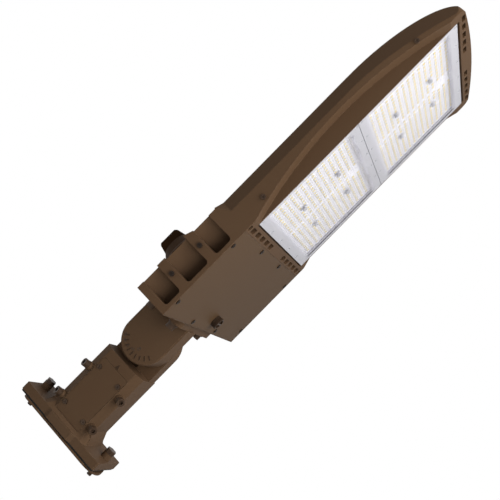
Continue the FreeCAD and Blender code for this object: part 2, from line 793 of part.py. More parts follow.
def head_body():
    """The solid head before anything is cut from it: the nose profile swung along the bow."""
    back = box_x1 - 2 * corner_radius
    swing = math.degrees(math.atan2(head_half + corner_radius, back - bow_x))
    face = Part.Face(nose_profile(back))
    face.rotate(V(bow_x, 0, 0), Z_AXIS, -swing)
    return face.revolve(V(bow_x, 0, 0), Z_AXIS, 2 * swing).common(head_plan())


def crease_point(along):
    """The crease on the head's side: level, then falling faster and faster to the tip."""
    fall = max(0.0, (along - crease_level) / (crease_end - crease_level))
    return V(panel_x0 + along, 0, face_z + crease_height * (1 - fall ** crease_power))


def shoulder_cut():
    """What is sliced off one side above the crease, leaving a sloped shoulder."""
    slope = V(0, -shoulder_in, head_top - crease_height)
    outside = 0.4                # slopes: where the cutter starts, clear of the head's side
    inside = 6.0                 # slopes: how far it goes on, past the head's top
    start = shoulder_start - strip_length
    steps = 9
    falling = [crease_point(crease_level + (crease_end - crease_level) * i / steps)
               for i in range(steps + 1)]
    curve = Part.BSplineCurve()
    curve.interpolate(falling)
    ceiling = face_z + 2 * head_top
    end = falling[-1]
    beyond = V(tip_x + over, 0, end.z)
    rear = V(panel_x0 + start, 0, falling[0].z)
    behind = V(box_x1, 0, top_z)
    above = V(box_x1, 0, ceiling)
    ahead = V(tip_x + over, 0, ceiling)
    face = Part.Face(Part.Wire([
        Part.LineSegment(rear, falling[0]).toShape(), curve.toShape(),
        Part.LineSegment(end, beyond).toShape(), Part.LineSegment(beyond, ahead).toShape(),
        Part.LineSegment(ahead, above).toShape(), Part.LineSegment(above, behind).toShape(),
        Part.LineSegment(behind, rear).toShape()]))
    face.translate(V(0, head_half, 0) - slope * outside)
    return face.extrude(slope * (outside + inside))


def arch_cut():
    """The long arch along one side's lower rim, outside the lamp block."""
    middle = panel_x0 + arch_length / 2
    low = face_z - over
    ends = [V(panel_x0, block_half, face_z), V(panel_x0 + arch_length, block_half, face_z)]
    arc = Part.Arc(ends[0], V(middle, block_half, face_z + arch_rise), ends[1])
    wire = Part.Wire([
        arc.toShape(), Part.LineSegment(ends[1], V(ends[1].x, block_half, low)).toShape(),
        Part.LineSegment(V(ends[1].x, block_half, low), V(ends[0].x, block_half, low)).toShape(),
        Part.LineSegment(V(ends[0].x, block_half, low), ends[0]).toShape()])
    return Part.Face(wire).extrude(V(0, head_half - block_half + over, 0))


def fin_places():
    """The middles of one side's cooling fins."""
    return [fin_first + i * fin_pitch for i in range(fin_count)]


def channel_cuts():
    """The troughs between the cooling fins on one side, open to the sky."""
    x0 = box_x1 + channel_back
    x1 = panel_x1 + channel_stop
    edges = [spine_half - fin_thick / 2] + fin_places() + [block_half]
    return [block(x0, x1, near + fin_thick / 2, far - fin_thick / 2, deck_z, top_z + over)
            for near, far in zip(edges[:-1], edges[1:])]


def vent_places():
    """The vents' middles, one beyond each fin."""
    return [y + fin_pitch / 2 for y in fin_places()]


def slot(x, y, width, length, z0, z1):
    """A slot across the head with rounded corners."""
    return rounded_plate(x - width / 2, x + width / 2, y - length / 2, y + length / 2,
                         z0, z1, width / 3, Z_AXIS)


def vent_cuts():
    """One side's slots behind and ahead of the lamp panels, and a short blind one at the edge."""
    cuts = []
    rear_x = box_x1 + vent_rear_from_box
    tip_vent_x = panel_x1 + vent_tip_from_panel
    for y in vent_places():
        cuts.append(slot(rear_x, y, vent_rear_width, vent_length, face_z - over, deck_z + over))
        cuts.append(slot(tip_vent_x, y, vent_tip_width, vent_length, face_z - over, top_z))
    cuts.append(slot(rear_x, outer_vent_y, vent_rear_width, outer_vent_length, face_z - over,
                     face_z + outer_vent_depth))
    return cuts


def pocket_cuts():
    """The pockets in one side of the box: deep at the floor, almost flush at the top."""
    cuts = []
    floor = face_z + pocket_floor
    for start, width in zip(pocket_starts, pocket_widths):
        x0 = box_x0 + start
        section = [(x0, head_half + over, floor), (x0, head_half - pocket_depth, floor),
                   (x0, head_half - pocket_lip, box_top), (x0, head_half - pocket_lip, box_top + over),
                   (x0, head_half + over, box_top + over)]
        pocket = prism(section, V(width, 0, 0))
        low = [e for e in pocket.Edges if abs(e.BoundBox.ZMax - floor) < 1e-6
               and e.BoundBox.YLength > pocket_depth / 2]
        cuts.append(pocket.makeFillet(pocket_corner, low))
    return cuts


def rib_places():
    """Where each rib between two pockets starts and ends along the light."""
    ends = [start + width for start, width in zip(pocket_starts, pocket_widths)]
    return [(box_x0 + end, box_x0 + start) for end, start in zip(ends[:-1], pocket_starts[1:])]


def rib_tops():
    """One side's ribs carried on above the roof's edge."""
    tops = []
    for (x0, x1), (rear, front) in zip(rib_places(), rib_rises):
        y0 = head_half - pocket_depth
        section = [(x0, y0, box_top - over), (x0, y0, box_top + rear),
                   (x1, y0, box_top + front), (x1, y0, box_top - over)]
        tops.append(prism(section, V(0, pocket_depth, 0)))
    return tops


def hump(shrink):
    """The raised middle of the roof; shrunk by a wall it is the hollow inside."""
    half = hump_half - shrink
    foot = half + hump_spread
    top = hump_top - shrink
    x0 = box_x0 if shrink == 0 else cavity_x0
    section = [(x0, -foot, box_top - 2 * roof_thick), (x0, foot, box_top - 2 * roof_thick),
               (x0, foot, box_top - shrink), (x0, half, top), (x0, -half, top),
               (x0, -foot, box_top - shrink)]
    bar = prism(section, V(box_length, 0, 0))
    low = box_top - 2 * roof_thick
    side = [(x0 - over, -foot, low), (box_x1 - shrink, -foot, low),
            (box_x1 - shrink, -foot, box_top - shrink),
            (box_x1 - hump_front - shrink, -foot, top), (x0 - over, -foot, top)]
    return bar.common(prism(side, V(0, 2 * foot, 0)))


def tapped(places, start, end, radius):
    """Holes along one vector at several places."""
    return [rod(radius, place + start, place + end) for place in places]


def housing():
    """The head's one casting: the gear box behind, the finned lamp deck ahead of it."""
    box = block(box_x0, box_x1, -head_half, head_half, face_z, box_top)
    body = fused([box, head_body(), hump(0)] + [s for top in rib_tops() for s in both_sides(top)])
    cuts = [block(cavity_x0, cavity_x1, -cavity_half, cavity_half, face_z - over,
                  box_top - roof_thick), hump(hump_wall)]
    cuts.append(block(cover_x0 - cover_gap, cover_x1 + cover_gap, -cover_half - cover_gap,
                      cover_half + cover_gap, face_z - over, cover_z))
    cuts.append(cover_pad_ring(0, cover_pad_depth))
    cuts.append(block(panel_x0 - panel_gap_rear, panel_x1 + panel_gap_front,
                      -panel_half - panel_side_gap, panel_half + panel_side_gap,
                      face_z - over, seat_z))
    one_side = [shoulder_cut(), arch_cut()] + channel_cuts() + vent_cuts() + pocket_cuts()
    for cut in one_side:
        cuts += both_sides(cut)
    middle = (lap_near - arm_half) / 2
    cuts.append(rod(lead_hole_radius, V(box_x0 - over, middle, 0), V(cavity_x0 + over, middle, 0)))
    for y, z in knuckle_screw_places():
        cuts.append(rod(knuckle_screw_radius, V(box_x0 - over, y, z),
                        V(cavity_x0 - blind_wall, y, z)))
    cuts += tapped(cover_screw_places(), V(0, 0, -over), V(0, 0, cover_screw_depth()), m4_radius)
    cuts += tapped(side_screw_places(), V(0, -side_screw_length - hole_bottom, 0), V(0, over, 0),
                   m4_radius)
    cuts += tapped([V(p.x, -p.y, p.z) for p in side_screw_places()], V(0, -over, 0),
                   V(0, side_screw_length + hole_bottom, 0), m4_radius)
    lead_z = face_z + lead_bore_height
    last_lead = connector_places()[-1].x
    cuts.append(rod(lead_bore_radius, V(cavity_x1 - over, 0, lead_z), V(last_lead, 0, lead_z)))
    cuts += tapped([V(p.x, 0, seat_z) for p in connector_places()], V(0, 0, -over),
                   V(0, 0, lead_z - seat_z), lead_bore_radius)
    deck_hole = V(0, 0, deck_thick - blind_wall)
    cuts += tapped([V(p.x, p.y, seat_z) for p in edge_screw_places()], V(0, 0, -over), deck_hole,
                   m3_radius)
    cuts += tapped([V(p.x, p.y, seat_z) for p in module_screw_places()], V(0, 0, -over), deck_hole,
                   m4_radius)
    cuts.append(rod(receptacle_stem_radius + hole_clearance, V(receptacle_x, 0, box_top),
                    V(receptacle_x, 0, hump_top + over)))
    cuts += tapped([V(p.x, p.y, hump_top) for p in receptacle_screw_places()], V(0, 0, over),
                   V(0, 0, -hump_wall), m4_radius)
    return body.cut(cuts)


# ---- driver cover --------------------------------------------------------------------------------
def cover_screw_depth():
    """From the cover's seat up to just under the pockets."""
    return pocket_floor - cover_thick - cover_blind_wall


def cover_screw_places():
    """Four near the cover's long edges and four at its ends, on the cover's seat."""
    rear = cover_x0 + cover_screw_rear
    front = cover_x1 - cover_screw_front
    edge = cover_half - cover_screw_edge
    places = [(x, y) for x in (rear, front) for y in (-cover_screw_y, cover_screw_y)]
    places += [(box_x0 + x, y) for x in cover_corner_screws for y in (-edge, edge)]
    return [V(x, y, cover_z) for x, y in places]


def cover_pad_ring(slack, height):
    """The seal round the box's opening, in a groove above the cover."""
    inner = cover_pad_offset + slack
    outer = cover_pad_offset + cover_pad_width - slack
    frame = [block(cavity_x0 - edge, cavity_x1 + edge, -cavity_half - edge, cavity_half + edge,
                   cover_z, cover_z + height) for edge in (outer, inner)]
    return frame[0].cut(frame[1])


def cover_pad():
    return cover_pad_ring(cover_pad_slack, cover_pad_depth)


def gear_holes():
    """Where the gear inside is screwed to the cover."""
    return driver_screw_places() + surge_screw_places() + block_screw_places()


def driver_cover():
    """The plate that closes the gear box from below and carries the gear."""
    plate = rounded_plate(cover_x0, cover_x1, -cover_half, cover_half, face_z, cover_z,
                          cover_corner, Z_AXIS)
    cuts = []
    for place in cover_screw_places():
        seat = V(place.x, place.y, face_z + m4_head_height / 2)
        below = V(place.x, place.y, face_z - over)
        cuts.append(rod(m4_radius + hole_clearance, below, place + Z_AXIS * over))
        cuts.append(rod(m4_head_radius + hole_clearance, below, seat))
    cuts.append(rod(plug_stem_radius, V(plug_x(), plug_y, face_z - over),
                    V(plug_x(), plug_y, cover_z + over)))
    cuts += tapped(gear_holes(), V(0, 0, -gear_screw_depth), V(0, 0, over), m3_radius)
    return plate.cut(cuts)


def cover_screws():
    """Their heads are half sunk into the cover."""
    screws = []
    for place in cover_screw_places():
        seat = V(place.x, place.y, face_z + m4_head_height / 2)
        shank = cover_z + cover_screw_depth() - hole_bottom - seat.z
        screws.append(socket_screw(seat, Z_AXIS, shank, m4_radius, m4_head_radius, m4_head_height))
    return Part.makeCompound(screws)


def plug_x():
    return box_x0 + plug_from_rear


def sensor_plug():
    """A fluted round cap screwed into the cover's spare port, with a grip bar across its end."""
    low = face_z - plug_seal - plug_proud
    cap = rod(plug_radius, V(plug_x(), plug_y, low), V(plug_x(), plug_y, face_z - plug_seal))
    rim = [e for e in cap.Edges if abs(e.BoundBox.ZMax - low) < 1e-6]
    cap = cap.makeChamfer(plug_chamfer, rim)
    stem = rod(plug_stem_radius, V(plug_x(), plug_y, low + over),
               V(plug_x(), plug_y, face_z + plug_stem_depth))
    flutes = []
    for i in range(plug_flutes):
        turn = 2 * math.pi * i / plug_flutes
        at = V(plug_x() + plug_radius * math.cos(turn), plug_y + plug_radius * math.sin(turn),
               low - over)
        flutes.append(rod(plug_flute_radius, at, at + V(0, 0, plug_proud)))
    recess = rod(plug_grip_radius, V(plug_x(), plug_y, low - over),
                 V(plug_x(), plug_y, low + plug_grip_depth))
    bar = block(plug_x() - plug_grip_bar / 2, plug_x() + plug_grip_bar / 2,
                plug_y - plug_radius, plug_y + plug_radius, low - 2 * over, low + plug_grip_depth)
    return fused([cap, stem]).cut(flutes + [recess.cut(bar)])


def plug_washer():
    return washer(V(plug_x(), plug_y, face_z), Z_AXIS * -1, plug_radius - pad_inset,
                  plug_stem_radius, plug_seal)


# ---- screws on the sides -------------------------------------------------------------------------
def rib_screw_places():
    """On the face of each rib between two pockets."""
    return [V((x0 + x1) / 2, head_half, face_z + side_screw_height) for x0, x1 in rib_places()]


def wing_screw_places():
    """On each side of the lamp deck, under the crease."""
    return [V(panel_x0 + along, head_half, face_z + wing_screw_height) for along in wing_screws]


def side_screw_places():
    return rib_screw_places() + wing_screw_places()


def side_screws(places):
    screws = []
    for place in places:
        screw = socket_screw(place, Y_AXIS * -1, side_screw_length, m4_radius, m4_head_radius,
                             m4_head_height)
        screws += both_sides(screw)
    return Part.makeCompound(screws)


# ---- lamp modules --------------------------------------------------------------------------------
def module_starts():
    return (panel_x0, panel_x0 + module_length + module_seam)


def connector_places():
    """Under each board's front edge, just inside the lens's rim."""
    back = lens_rim + 1.5 * board_gap + connector_size[0] / 2
    return [V(x + module_length - back, 0, seat_z - board_thick) for x in module_starts()]


def module_screw_places():
    return [V(x + share * module_length, y, face_z) for x in module_starts()
            for share in module_screw_x for y in (-module_screw_y, module_screw_y)]


def edge_screw_places():
    """Small screws through each lens's rim: rows across, and the middles of its ends."""
    places = []
    across = 2 * (panel_half - edge_screw_inset)
    along = module_length - 2 * edge_screw_inset
    for x0 in module_starts():
        for i in range(edge_screws_across):
            y = -across / 2 + across * i / (edge_screws_across - 1)
            for x in (x0 + edge_screw_inset, x0 + edge_screw_inset + along):
                places.append(V(x, y, face_z))
        for i in range(1, edge_screws_along - 1):
            x = x0 + edge_screw_inset + along * i / (edge_screws_along - 1)
            places += [V(x, -across / 2, face_z), V(x, across / 2, face_z)]
    return places


def near_module(places, x0):
    return [p for p in places if x0 <= p.x <= x0 + module_length]


def lens(x0):
    """A clear tray: a thin face, a rim that presses on the pad, and four bosses."""
    x1 = x0 + module_length
    tray = block(x0, x1, -panel_half, panel_half, face_z, face_z + lens_height)
    hollow = block(x0 + lens_rim, x1 - lens_rim, lens_rim - panel_half, panel_half - lens_rim,
                   face_z + lens_face, face_z + lens_height + over)
    body = tray.cut(hollow)
    board_low = seat_z - board_thick
    bosses = [rod(module_boss_radius, V(p.x, p.y, face_z + lens_face / 2), V(p.x, p.y, board_low))
              for p in near_module(module_screw_places(), x0)]
    body = fused([body] + bosses)
    cuts = []
    for p in near_module(module_screw_places(), x0):
        below = p - Z_AXIS * over
        cuts.append(rod(m4_radius + hole_clearance, below, V(p.x, p.y, seat_z)))
        cuts.append(rod(m4_head_radius + hole_clearance, below, p + Z_AXIS * m4_head_height))
    for p in near_module(edge_screw_places(), x0):
        below = p - Z_AXIS * over
        cuts.append(rod(m3_radius + hole_clearance, below, V(p.x, p.y, seat_z)))
        cuts.append(rod(m3_head_radius + hole_clearance, below, p + Z_AXIS * m3_head_height))
    return body.cut(cuts)


def lens_seal(x0):
    """The pad between a lens's rim and the housing."""
    x1 = x0 + module_length
    z0 = face_z + lens_height
    inset = lens_seal_inset
    ring = block(x0 + inset, x1 - inset, inset - panel_half, panel_half - inset, z0, seat_z)
    edge = lens_rim - pad_inset
    window = block(x0 + edge, x1 - edge, edge - panel_half, panel_half - edge, z0 - over,
                   seat_z + over)
    holes = [rod(m3_radius + hole_clearance, V(p.x, p.y, z0 - over), V(p.x, p.y, seat_z + over))
             for p in near_module(edge_screw_places(), x0)]
    return ring.cut([window] + holes)


def board(x0):
    """The lamp board behind a lens, flat against the housing."""
    edge = lens_rim + board_gap
    plate = block(x0 + edge, x0 + module_length - edge, edge - panel_half, panel_half - edge,
                  seat_z - board_thick, seat_z)
    holes = [rod(m4_radius + hole_clearance, V(p.x, p.y, face_z), V(p.x, p.y, seat_z + over))
             for p in near_module(module_screw_places(), x0)]
    for p in near_module(connector_places(), x0):
        holes.append(rod(lead_bore_radius, p - Z_AXIS * over, V(p.x, p.y, seat_z + over)))
    return plate.cut(holes)


def board_connectors():
    length, width, height = connector_size
    return Part.makeCompound([
        block(p.x - length / 2, p.x + length / 2, p.y - width / 2, p.y + width / 2,
              p.z - height, p.z) for p in connector_places()])


def sunk_screws(places, radius, head_radius, head_height):
    """Screws whose heads lie just under the lenses' faces, ending in the deck."""
    shank = deck_z - blind_wall - hole_bottom - (face_z + head_height)
    return Part.makeCompound([
        socket_screw(p + Z_AXIS * head_height, Z_AXIS, shank, radius, head_radius,
                     head_height - head_sunk) for p in places])


def module_screws():
    """Four through each board and its lens's bosses."""
    return sunk_screws(module_screw_places(), m4_radius, m4_head_radius, m4_head_height)


def edge_screws():
    """The small ones round each lens."""
    return sunk_screws(edge_screw_places(), m3_radius, m3_head_radius, m3_head_height)


# ---- gear inside the box -------------------------------------------------------------------------
def driver_screw_places():
    x = cavity_x1 - driver_from_front - driver_width / 2
    reach = driver_length / 2 + driver_tab / 2
    return [V(x, y, cover_z) for y in (-reach, reach)]


def driver():
    """The power supply: a chamfered case with a mounting tab at each end."""
    x1 = cavity_x1 - driver_from_front
    x0 = x1 - driver_width
    case = block(x0, x1, -driver_length / 2, driver_length / 2, cover_z, cover_z + driver_height)
    top = [e for e in case.Edges if abs(e.BoundBox.ZMin - cover_z - driver_height) < 1e-6]
    case = case.makeChamfer(driver_chamfer, top)
    reach = driver_length / 2 + driver_tab
    tabs = block(x0 + driver_tab_inset, x1 - driver_tab_inset, -reach, reach, cover_z,
                 cover_z + driver_tab_thick)
    body = fused([case, tabs])
    return body.cut(tapped(driver_screw_places(), V(0, 0, -over), V(0, 0, driver_tab_thick + over),
                           m3_radius + hole_clearance))


def gear_screws():
    """Small screws that hold the driver, surge protector and terminal block to the cover."""
    rises = [(driver_screw_places(), driver_tab_thick), (surge_screw_places(), gear_foot_height),
             (block_screw_places(), gear_foot_height)]
    return Part.makeCompound([
        socket_screw(place + Z_AXIS * rise, Z_AXIS * -1, rise + gear_screw_depth - hole_bottom,
                     m3_radius, m3_head_radius, m3_head_height)
        for places, rise in rises for place in places])


def footed_block(size, middle_y, places):
    """A moulded block with a low foot at each end that takes its screws."""
    length, width, height = size
    x0 = cavity_x0 + gear_from_rear
    case_half = width / 2 - gear_foot_length
    body = block(x0, x0 + length, middle_y - case_half, middle_y + case_half, cover_z,
                 cover_z + height)
    feet = block(x0 + length / 4, x0 + 3 * length / 4, middle_y - width / 2, middle_y + width / 2,
                 cover_z, cover_z + gear_foot_height)
    return fused([body, feet]).cut(tapped(places, V(0, 0, -over), V(0, 0, gear_foot_height + over),
                                          m3_radius + hole_clearance))


def foot_places(size, middle_y):
    """The middles of a footed block's two feet."""
    x = cavity_x0 + gear_from_rear + size[0] / 2
    reach = (size[1] - gear_foot_length) / 2
    return [V(x, middle_y + side * reach, cover_z) for side in (-1, 1)]


def surge_y():
    return -surge_from_middle - surge_size[1] / 2


def block_y():
    return block_from_middle + block_size[1] / 2


def surge_screw_places():
    return foot_places(surge_size, surge_y())


def block_screw_places():
    return foot_places(block_size, block_y())


def surge_protector():
    return footed_block(surge_size, surge_y(), surge_screw_places())


def terminal_block():
    """A strip of screw terminals, with a well over each clamp."""
    body = footed_block(block_size, block_y(), block_screw_places())
    length, width, height = block_size
    x = cavity_x0 + gear_from_rear + length / 2
    wells = []
    run = width - 2 * gear_foot_length - 2 * terminal_well_edge
    for i in range(terminal_poles):
        y = block_y() - run / 2 + run * i / (terminal_poles - 1)
        for side in (-1, 1):
            at = V(x + side * length / 4, y, cover_z + height)
            wells.append(rod(terminal_well_radius, at - Z_AXIS * terminal_well_depth,
                             at + Z_AXIS * over))
    return body.cut(wells)


# ---- receptacle and photocell --------------------------------------------------------------------
def receptacle_screw_places():
    """On the light's length, clear of the blades' arcs."""
    return [V(receptacle_x + side * receptacle_screw_circle, 0, receptacle_z) for side in (-1, 1)]


def receptacle_pad():
    """The seal between the receptacle and the raised roof."""
    ring = tube(receptacle_radius - pad_inset, receptacle_stem_radius + pad_inset,
                V(receptacle_x, 0, hump_top), V(receptacle_x, 0, receptacle_z))
    return ring.cut(tapped(receptacle_screw_places(), V(0, 0, -socket_pad_thick - over),
                           V(0, 0, over), m4_radius + hole_clearance))


def arc_wedge(turn, sweep, reach, z0, z1):
    """A pie slice about the receptacle's axis."""
    wedge = Part.makeCylinder(reach, z1 - z0, V(receptacle_x, 0, z0), Z_AXIS, sweep)
    wedge.rotate(V(receptacle_x, 0, 0), Z_AXIS, turn)
    return wedge


def blade_arc(turn, sweep, slack, z0, z1):
    """A curved strip standing on the blades' circle."""
    ring = tube(blade_circle + blade_thick / 2 + slack, blade_circle - blade_thick / 2 - slack,
                V(receptacle_x, 0, z0), V(receptacle_x, 0, z1))
    return ring.common(arc_wedge(turn, sweep, 2 * blade_circle, z0, z1))


def blade_turns():
    """Where each blade's arc starts, in degrees from +X; the first is centred on +Y."""
    return [90 + 360 / blade_count * i - blade_sweep / 2 for i in range(blade_count)]


def receptacle():
    """A round socket with three curved slots long enough for the cap's twist."""
    top = cell_z
    body = rod(receptacle_radius, V(receptacle_x, 0, receptacle_z), V(receptacle_x, 0, top))
    rim = [e for e in body.Edges if abs(e.BoundBox.ZMin - top) < 1e-6]
    body = body.makeChamfer(receptacle_chamfer, rim)
    stem = rod(receptacle_stem_radius, V(receptacle_x, 0, hump_top - receptacle_stem_depth),
               V(receptacle_x, 0, receptacle_z + over))
    slack_turn = math.degrees(blade_clearance / blade_circle)
    cuts = [blade_arc(turn - slack_turn, blade_sweep + twist_angle + 2 * slack_turn,
                      blade_clearance, top - blade_depth - over, top + over)
            for turn in blade_turns()]
    for place in receptacle_screw_places():
        seat = V(place.x, place.y, top - m4_head_height - receptacle_screw_sink)
        cuts.append(rod(m4_radius + hole_clearance, place - Z_AXIS * over, seat))
        cuts.append(rod(m4_head_radius + hole_clearance, seat, V(place.x, place.y, top + over)))
    return fused([body, stem]).cut(cuts)


def receptacle_screws():
    """Down through the receptacle into the raised roof."""
    seat = cell_z - m4_head_height - receptacle_screw_sink
    shank = seat - hump_top + hump_wall - hole_bottom
    return Part.makeCompound([
        socket_screw(V(place.x, place.y, seat), Z_AXIS * -1, shank, m4_radius, m4_head_radius,
                     m4_head_height) for place in receptacle_screw_places()])


def cell_seal():
    """The soft ring under the photocell cap."""
    return tube(cell_seal_outer, receptacle_screw_circle + m4_head_radius - pad_inset,
                V(receptacle_x, 0, cell_z), V(receptacle_x, 0, cell_z + cell_seal_thick))


def cell_blades():
    """Curved contacts rooted in the cap and standing in the receptacle's slots."""
    low = cell_z - blade_depth
    top = cell_z + cell_seal_thick + blade_root
    return Part.makeCompound([blade_arc(turn, blade_sweep, 0, low, top) for turn in blade_turns()])


def photocell():
    """The cap: a skirt, a cone-shaped shoulder and a knob with two flats to turn it by."""
    base = cell_z + cell_seal_thick
    z1 = base + cell_skirt
    z2 = z1 + cell_shoulder_rise
    z3 = z2 + cell_neck_rise
    z4 = z3 + cell_knob_height
    outline = [(0, base), (cell_radius, base), (cell_radius, z1), (cell_shoulder_radius, z2),
               (cell_neck_radius, z3), (cell_top_radius, z4 - cell_top_round),
               (cell_top_radius - cell_top_round, z4), (0, z4)]
    wire = polygon([(receptacle_x + r, 0, z) for r, z in outline])
    body = Part.Face(wire).revolve(V(receptacle_x, 0, 0), Z_AXIS, 360)
    flat = block(receptacle_x - cell_radius, receptacle_x + cell_radius, cell_grip_half,
                 cell_radius, z3, z4 + over)
    return body.cut(both_sides(flat) + [blade_arc(turn, blade_sweep, 0, base - over,
                                                  base + blade_root) for turn in blade_turns()])


# ---- every piece, by name ------------------------------------------------------------------------
def all_nodes():
    rear, front = module_starts()
    return {
        "pole_plate": pole_plate(),
        "pole_pad": pole_pad(),
        "pole_bolts": pole_bolts(),
        "pole_washers": pole_washers(),
        "mount_arm": mount_arm(),
        "arm_hatch": arm_hatch(),
        "arm_hatch_pad": arm_hatch_pad(),
        "arm_hatch_screws": arm_hatch_screws(),
        "clamp_bolts": clamp_bolts(),
        "pivot_bolt": pivot_bolt(),
        "pivot_washer": pivot_washer(),
        "friction_ring": friction_ring(),
        "knuckle": knuckle(),
        "knuckle_seal": knuckle_seal(),
        "knuckle_screws": knuckle_screws(),
        "knuckle_washers": knuckle_washers(),
        "housing": housing(),
        "driver_cover": driver_cover(),
        "cover_pad": cover_pad(),
        "cover_screws": cover_screws(),
        "sensor_plug": sensor_plug(),
        "plug_washer": plug_washer(),
        "rib_screws": side_screws(rib_screw_places()),
        "wing_screws": side_screws(wing_screw_places()),
        "lens_rear": lens(rear),
        "lens_front": lens(front),
        "lens_seal_rear": lens_seal(rear),
        "lens_seal_front": lens_seal(front),
        "board_rear": board(rear),
        "board_front": board(front),
        "board_connectors": board_connectors(),
        "module_screws": module_screws(),
        "edge_screws": edge_screws(),
        "led_driver": driver(),
        "surge_protector": surge_protector(),
        "terminal_block": terminal_block(),
        "gear_screws": gear_screws(),
        "receptacle": receptacle(),
        "receptacle_pad": receptacle_pad(),
        "receptacle_screws": receptacle_screws(),
        "photocell": photocell(),
        "cell_seal": cell_seal(),
        "cell_blades": cell_blades(),
    }


def main():
    os.makedirs("parts", exist_ok=True)
    for name, shape in all_nodes().items():
        shape.exportStep("parts/" + name + ".step")
        print(name, len(shape.Solids), "solids", round(shape.Volume / 1000, 2), "cm3",
              "valid" if shape.isValid() else "NOT VALID")


main()
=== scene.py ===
"""Looks of a shoebox area light, laid out as a Blender add-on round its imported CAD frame."""

import json
import math

import bmesh
import bpy
from bpy.props import FloatProperty, FloatVectorProperty, IntProperty, PointerProperty
from mathutils import Matrix, Vector


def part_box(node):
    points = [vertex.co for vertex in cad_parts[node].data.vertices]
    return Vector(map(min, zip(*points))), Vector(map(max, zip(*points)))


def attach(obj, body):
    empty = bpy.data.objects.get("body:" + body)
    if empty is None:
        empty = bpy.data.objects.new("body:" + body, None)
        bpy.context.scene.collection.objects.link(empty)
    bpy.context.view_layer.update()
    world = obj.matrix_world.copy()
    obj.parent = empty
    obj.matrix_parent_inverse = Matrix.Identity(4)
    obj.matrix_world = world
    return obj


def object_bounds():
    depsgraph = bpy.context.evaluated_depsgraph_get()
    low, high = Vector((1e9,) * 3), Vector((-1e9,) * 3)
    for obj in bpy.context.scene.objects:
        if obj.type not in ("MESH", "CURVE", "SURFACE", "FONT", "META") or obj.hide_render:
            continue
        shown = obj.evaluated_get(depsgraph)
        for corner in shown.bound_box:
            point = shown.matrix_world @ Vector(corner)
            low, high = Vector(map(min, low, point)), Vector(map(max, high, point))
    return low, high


bl_info = {
    "name": "Shoebox Area Light",
    "version": (1, 0, 0),
    "blender": (4, 5, 0),
    "location": "3D View > Sidebar > Area Light",
    "description": "Finishes, lamp boards and tilt scale of an outdoor area light, and a stage for it",
    "category": "Object",
}

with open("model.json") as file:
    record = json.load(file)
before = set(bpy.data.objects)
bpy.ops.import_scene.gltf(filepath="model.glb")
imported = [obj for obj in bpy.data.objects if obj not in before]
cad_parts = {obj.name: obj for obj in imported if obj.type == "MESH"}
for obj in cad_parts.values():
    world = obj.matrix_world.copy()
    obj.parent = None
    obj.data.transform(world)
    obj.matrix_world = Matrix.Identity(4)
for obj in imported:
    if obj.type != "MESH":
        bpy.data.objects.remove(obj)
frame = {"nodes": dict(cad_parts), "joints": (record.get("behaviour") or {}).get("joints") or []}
cad_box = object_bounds()

MM = 0.001
DOWN = Vector((0, 0, -1))
ACRYLIC_INDEX = 1.49                # how strongly the clear plastic bends light
END_FROST = (11.0 * MM, 23.0 * MM)  # where the frost of a tray's ends starts and stops to fade
SIDE_FROST = (6.0 * MM, 11.0 * MM)  # the same on its long sides
SCREW_SHARES = (0.33, 0.70)         # where a board's screws sit along its lens, as shares
SCREW_SIDE = 50 * MM                # their distance from the middle
SCREW_CLEARANCE = 7.5 * MM          # no chip is closer than this to a screw
CONNECTOR_COLUMNS = 3               # last columns, which leave their first row to the connector


def shown(red, green, blue):
    """A colour read off a screen, 0 to 255, as the linear values that shaders take."""
    return tuple((c / 255 / 12.92) if c < 10.3 else ((c / 255 + 0.055) / 1.055) ** 2.4
                 for c in (red, green, blue))


def colour(name, words, red, green, blue):
    return FloatVectorProperty(name=name, description=words, subtype="COLOR", size=3, min=0, max=1,
                               default=shown(red, green, blue))


def length(name, words, millimetres):
    return FloatProperty(name=name, description=words, subtype="DISTANCE", unit="LENGTH",
                         default=millimetres * MM)


# ---- what a user would change ---------------------------------------------------------------------
class CoatSettings(bpy.types.PropertyGroup):
    """Colours and grain of the coated metal."""
    bronze: colour("Bronze coat", "Powder coat on the castings and plates", 88, 67, 49)
    sheet: colour("Sheet coat", "Smoother coat on the driver cover", 83, 63, 44)
    # lighter corners: partly rubbed wear, partly a painted highlight along the edges
    worn: colour("Rubbed coat", "Where corners have been rubbed lighter", 128, 106, 84)
    dusty: colour("Dust", "Dust that settles in broad patches", 99, 80, 62)
    screw: colour("Dark screws", "Black-brown finish on the small screws", 38, 28, 20)
    screw_worn: colour("Rubbed screws", "Bare edges of the small screws' heads", 78, 63, 50)
    bolt: colour("Coated bolts", "Baked finish on the bolts", 62, 46, 34)
    # lighter edges of the bolts' heads: partly bare worn metal, partly a painted highlight
    bolt_worn: colour("Rubbed bolts", "Bare edges of the bolts' heads", 138, 118, 98)
    edge: length("Edge width", "How far rounding and wear reach from a corner", 1.1)
    grain: length("Grain", "Size of the coat's orange peel", 0.9)


class PlasticSettings(bpy.types.PropertyGroup):
    """Colours of plastic, rubber and bare metal."""
    cap: colour("Photocell cap", "Moulded cap and receptacle", 54, 35, 18)
    plug: colour("Sensor plug", "Fluted plug in the driver cover", 60, 45, 33)
    rubber: colour("Rubber", "Seals and pads", 38, 36, 34)
    white: colour("White plastic", "Connectors and terminal block", 222, 221, 215)
    steel: colour("Steel", "Stainless screws", 176, 176, 178)
    zinc: colour("Zinc", "Pale plating on the lamp modules' screws", 196, 196, 202)
    brass: colour("Brass", "Blades and friction ring", 196, 164, 104)
    case: colour("Driver case", "Pressed aluminium case", 196, 197, 196)


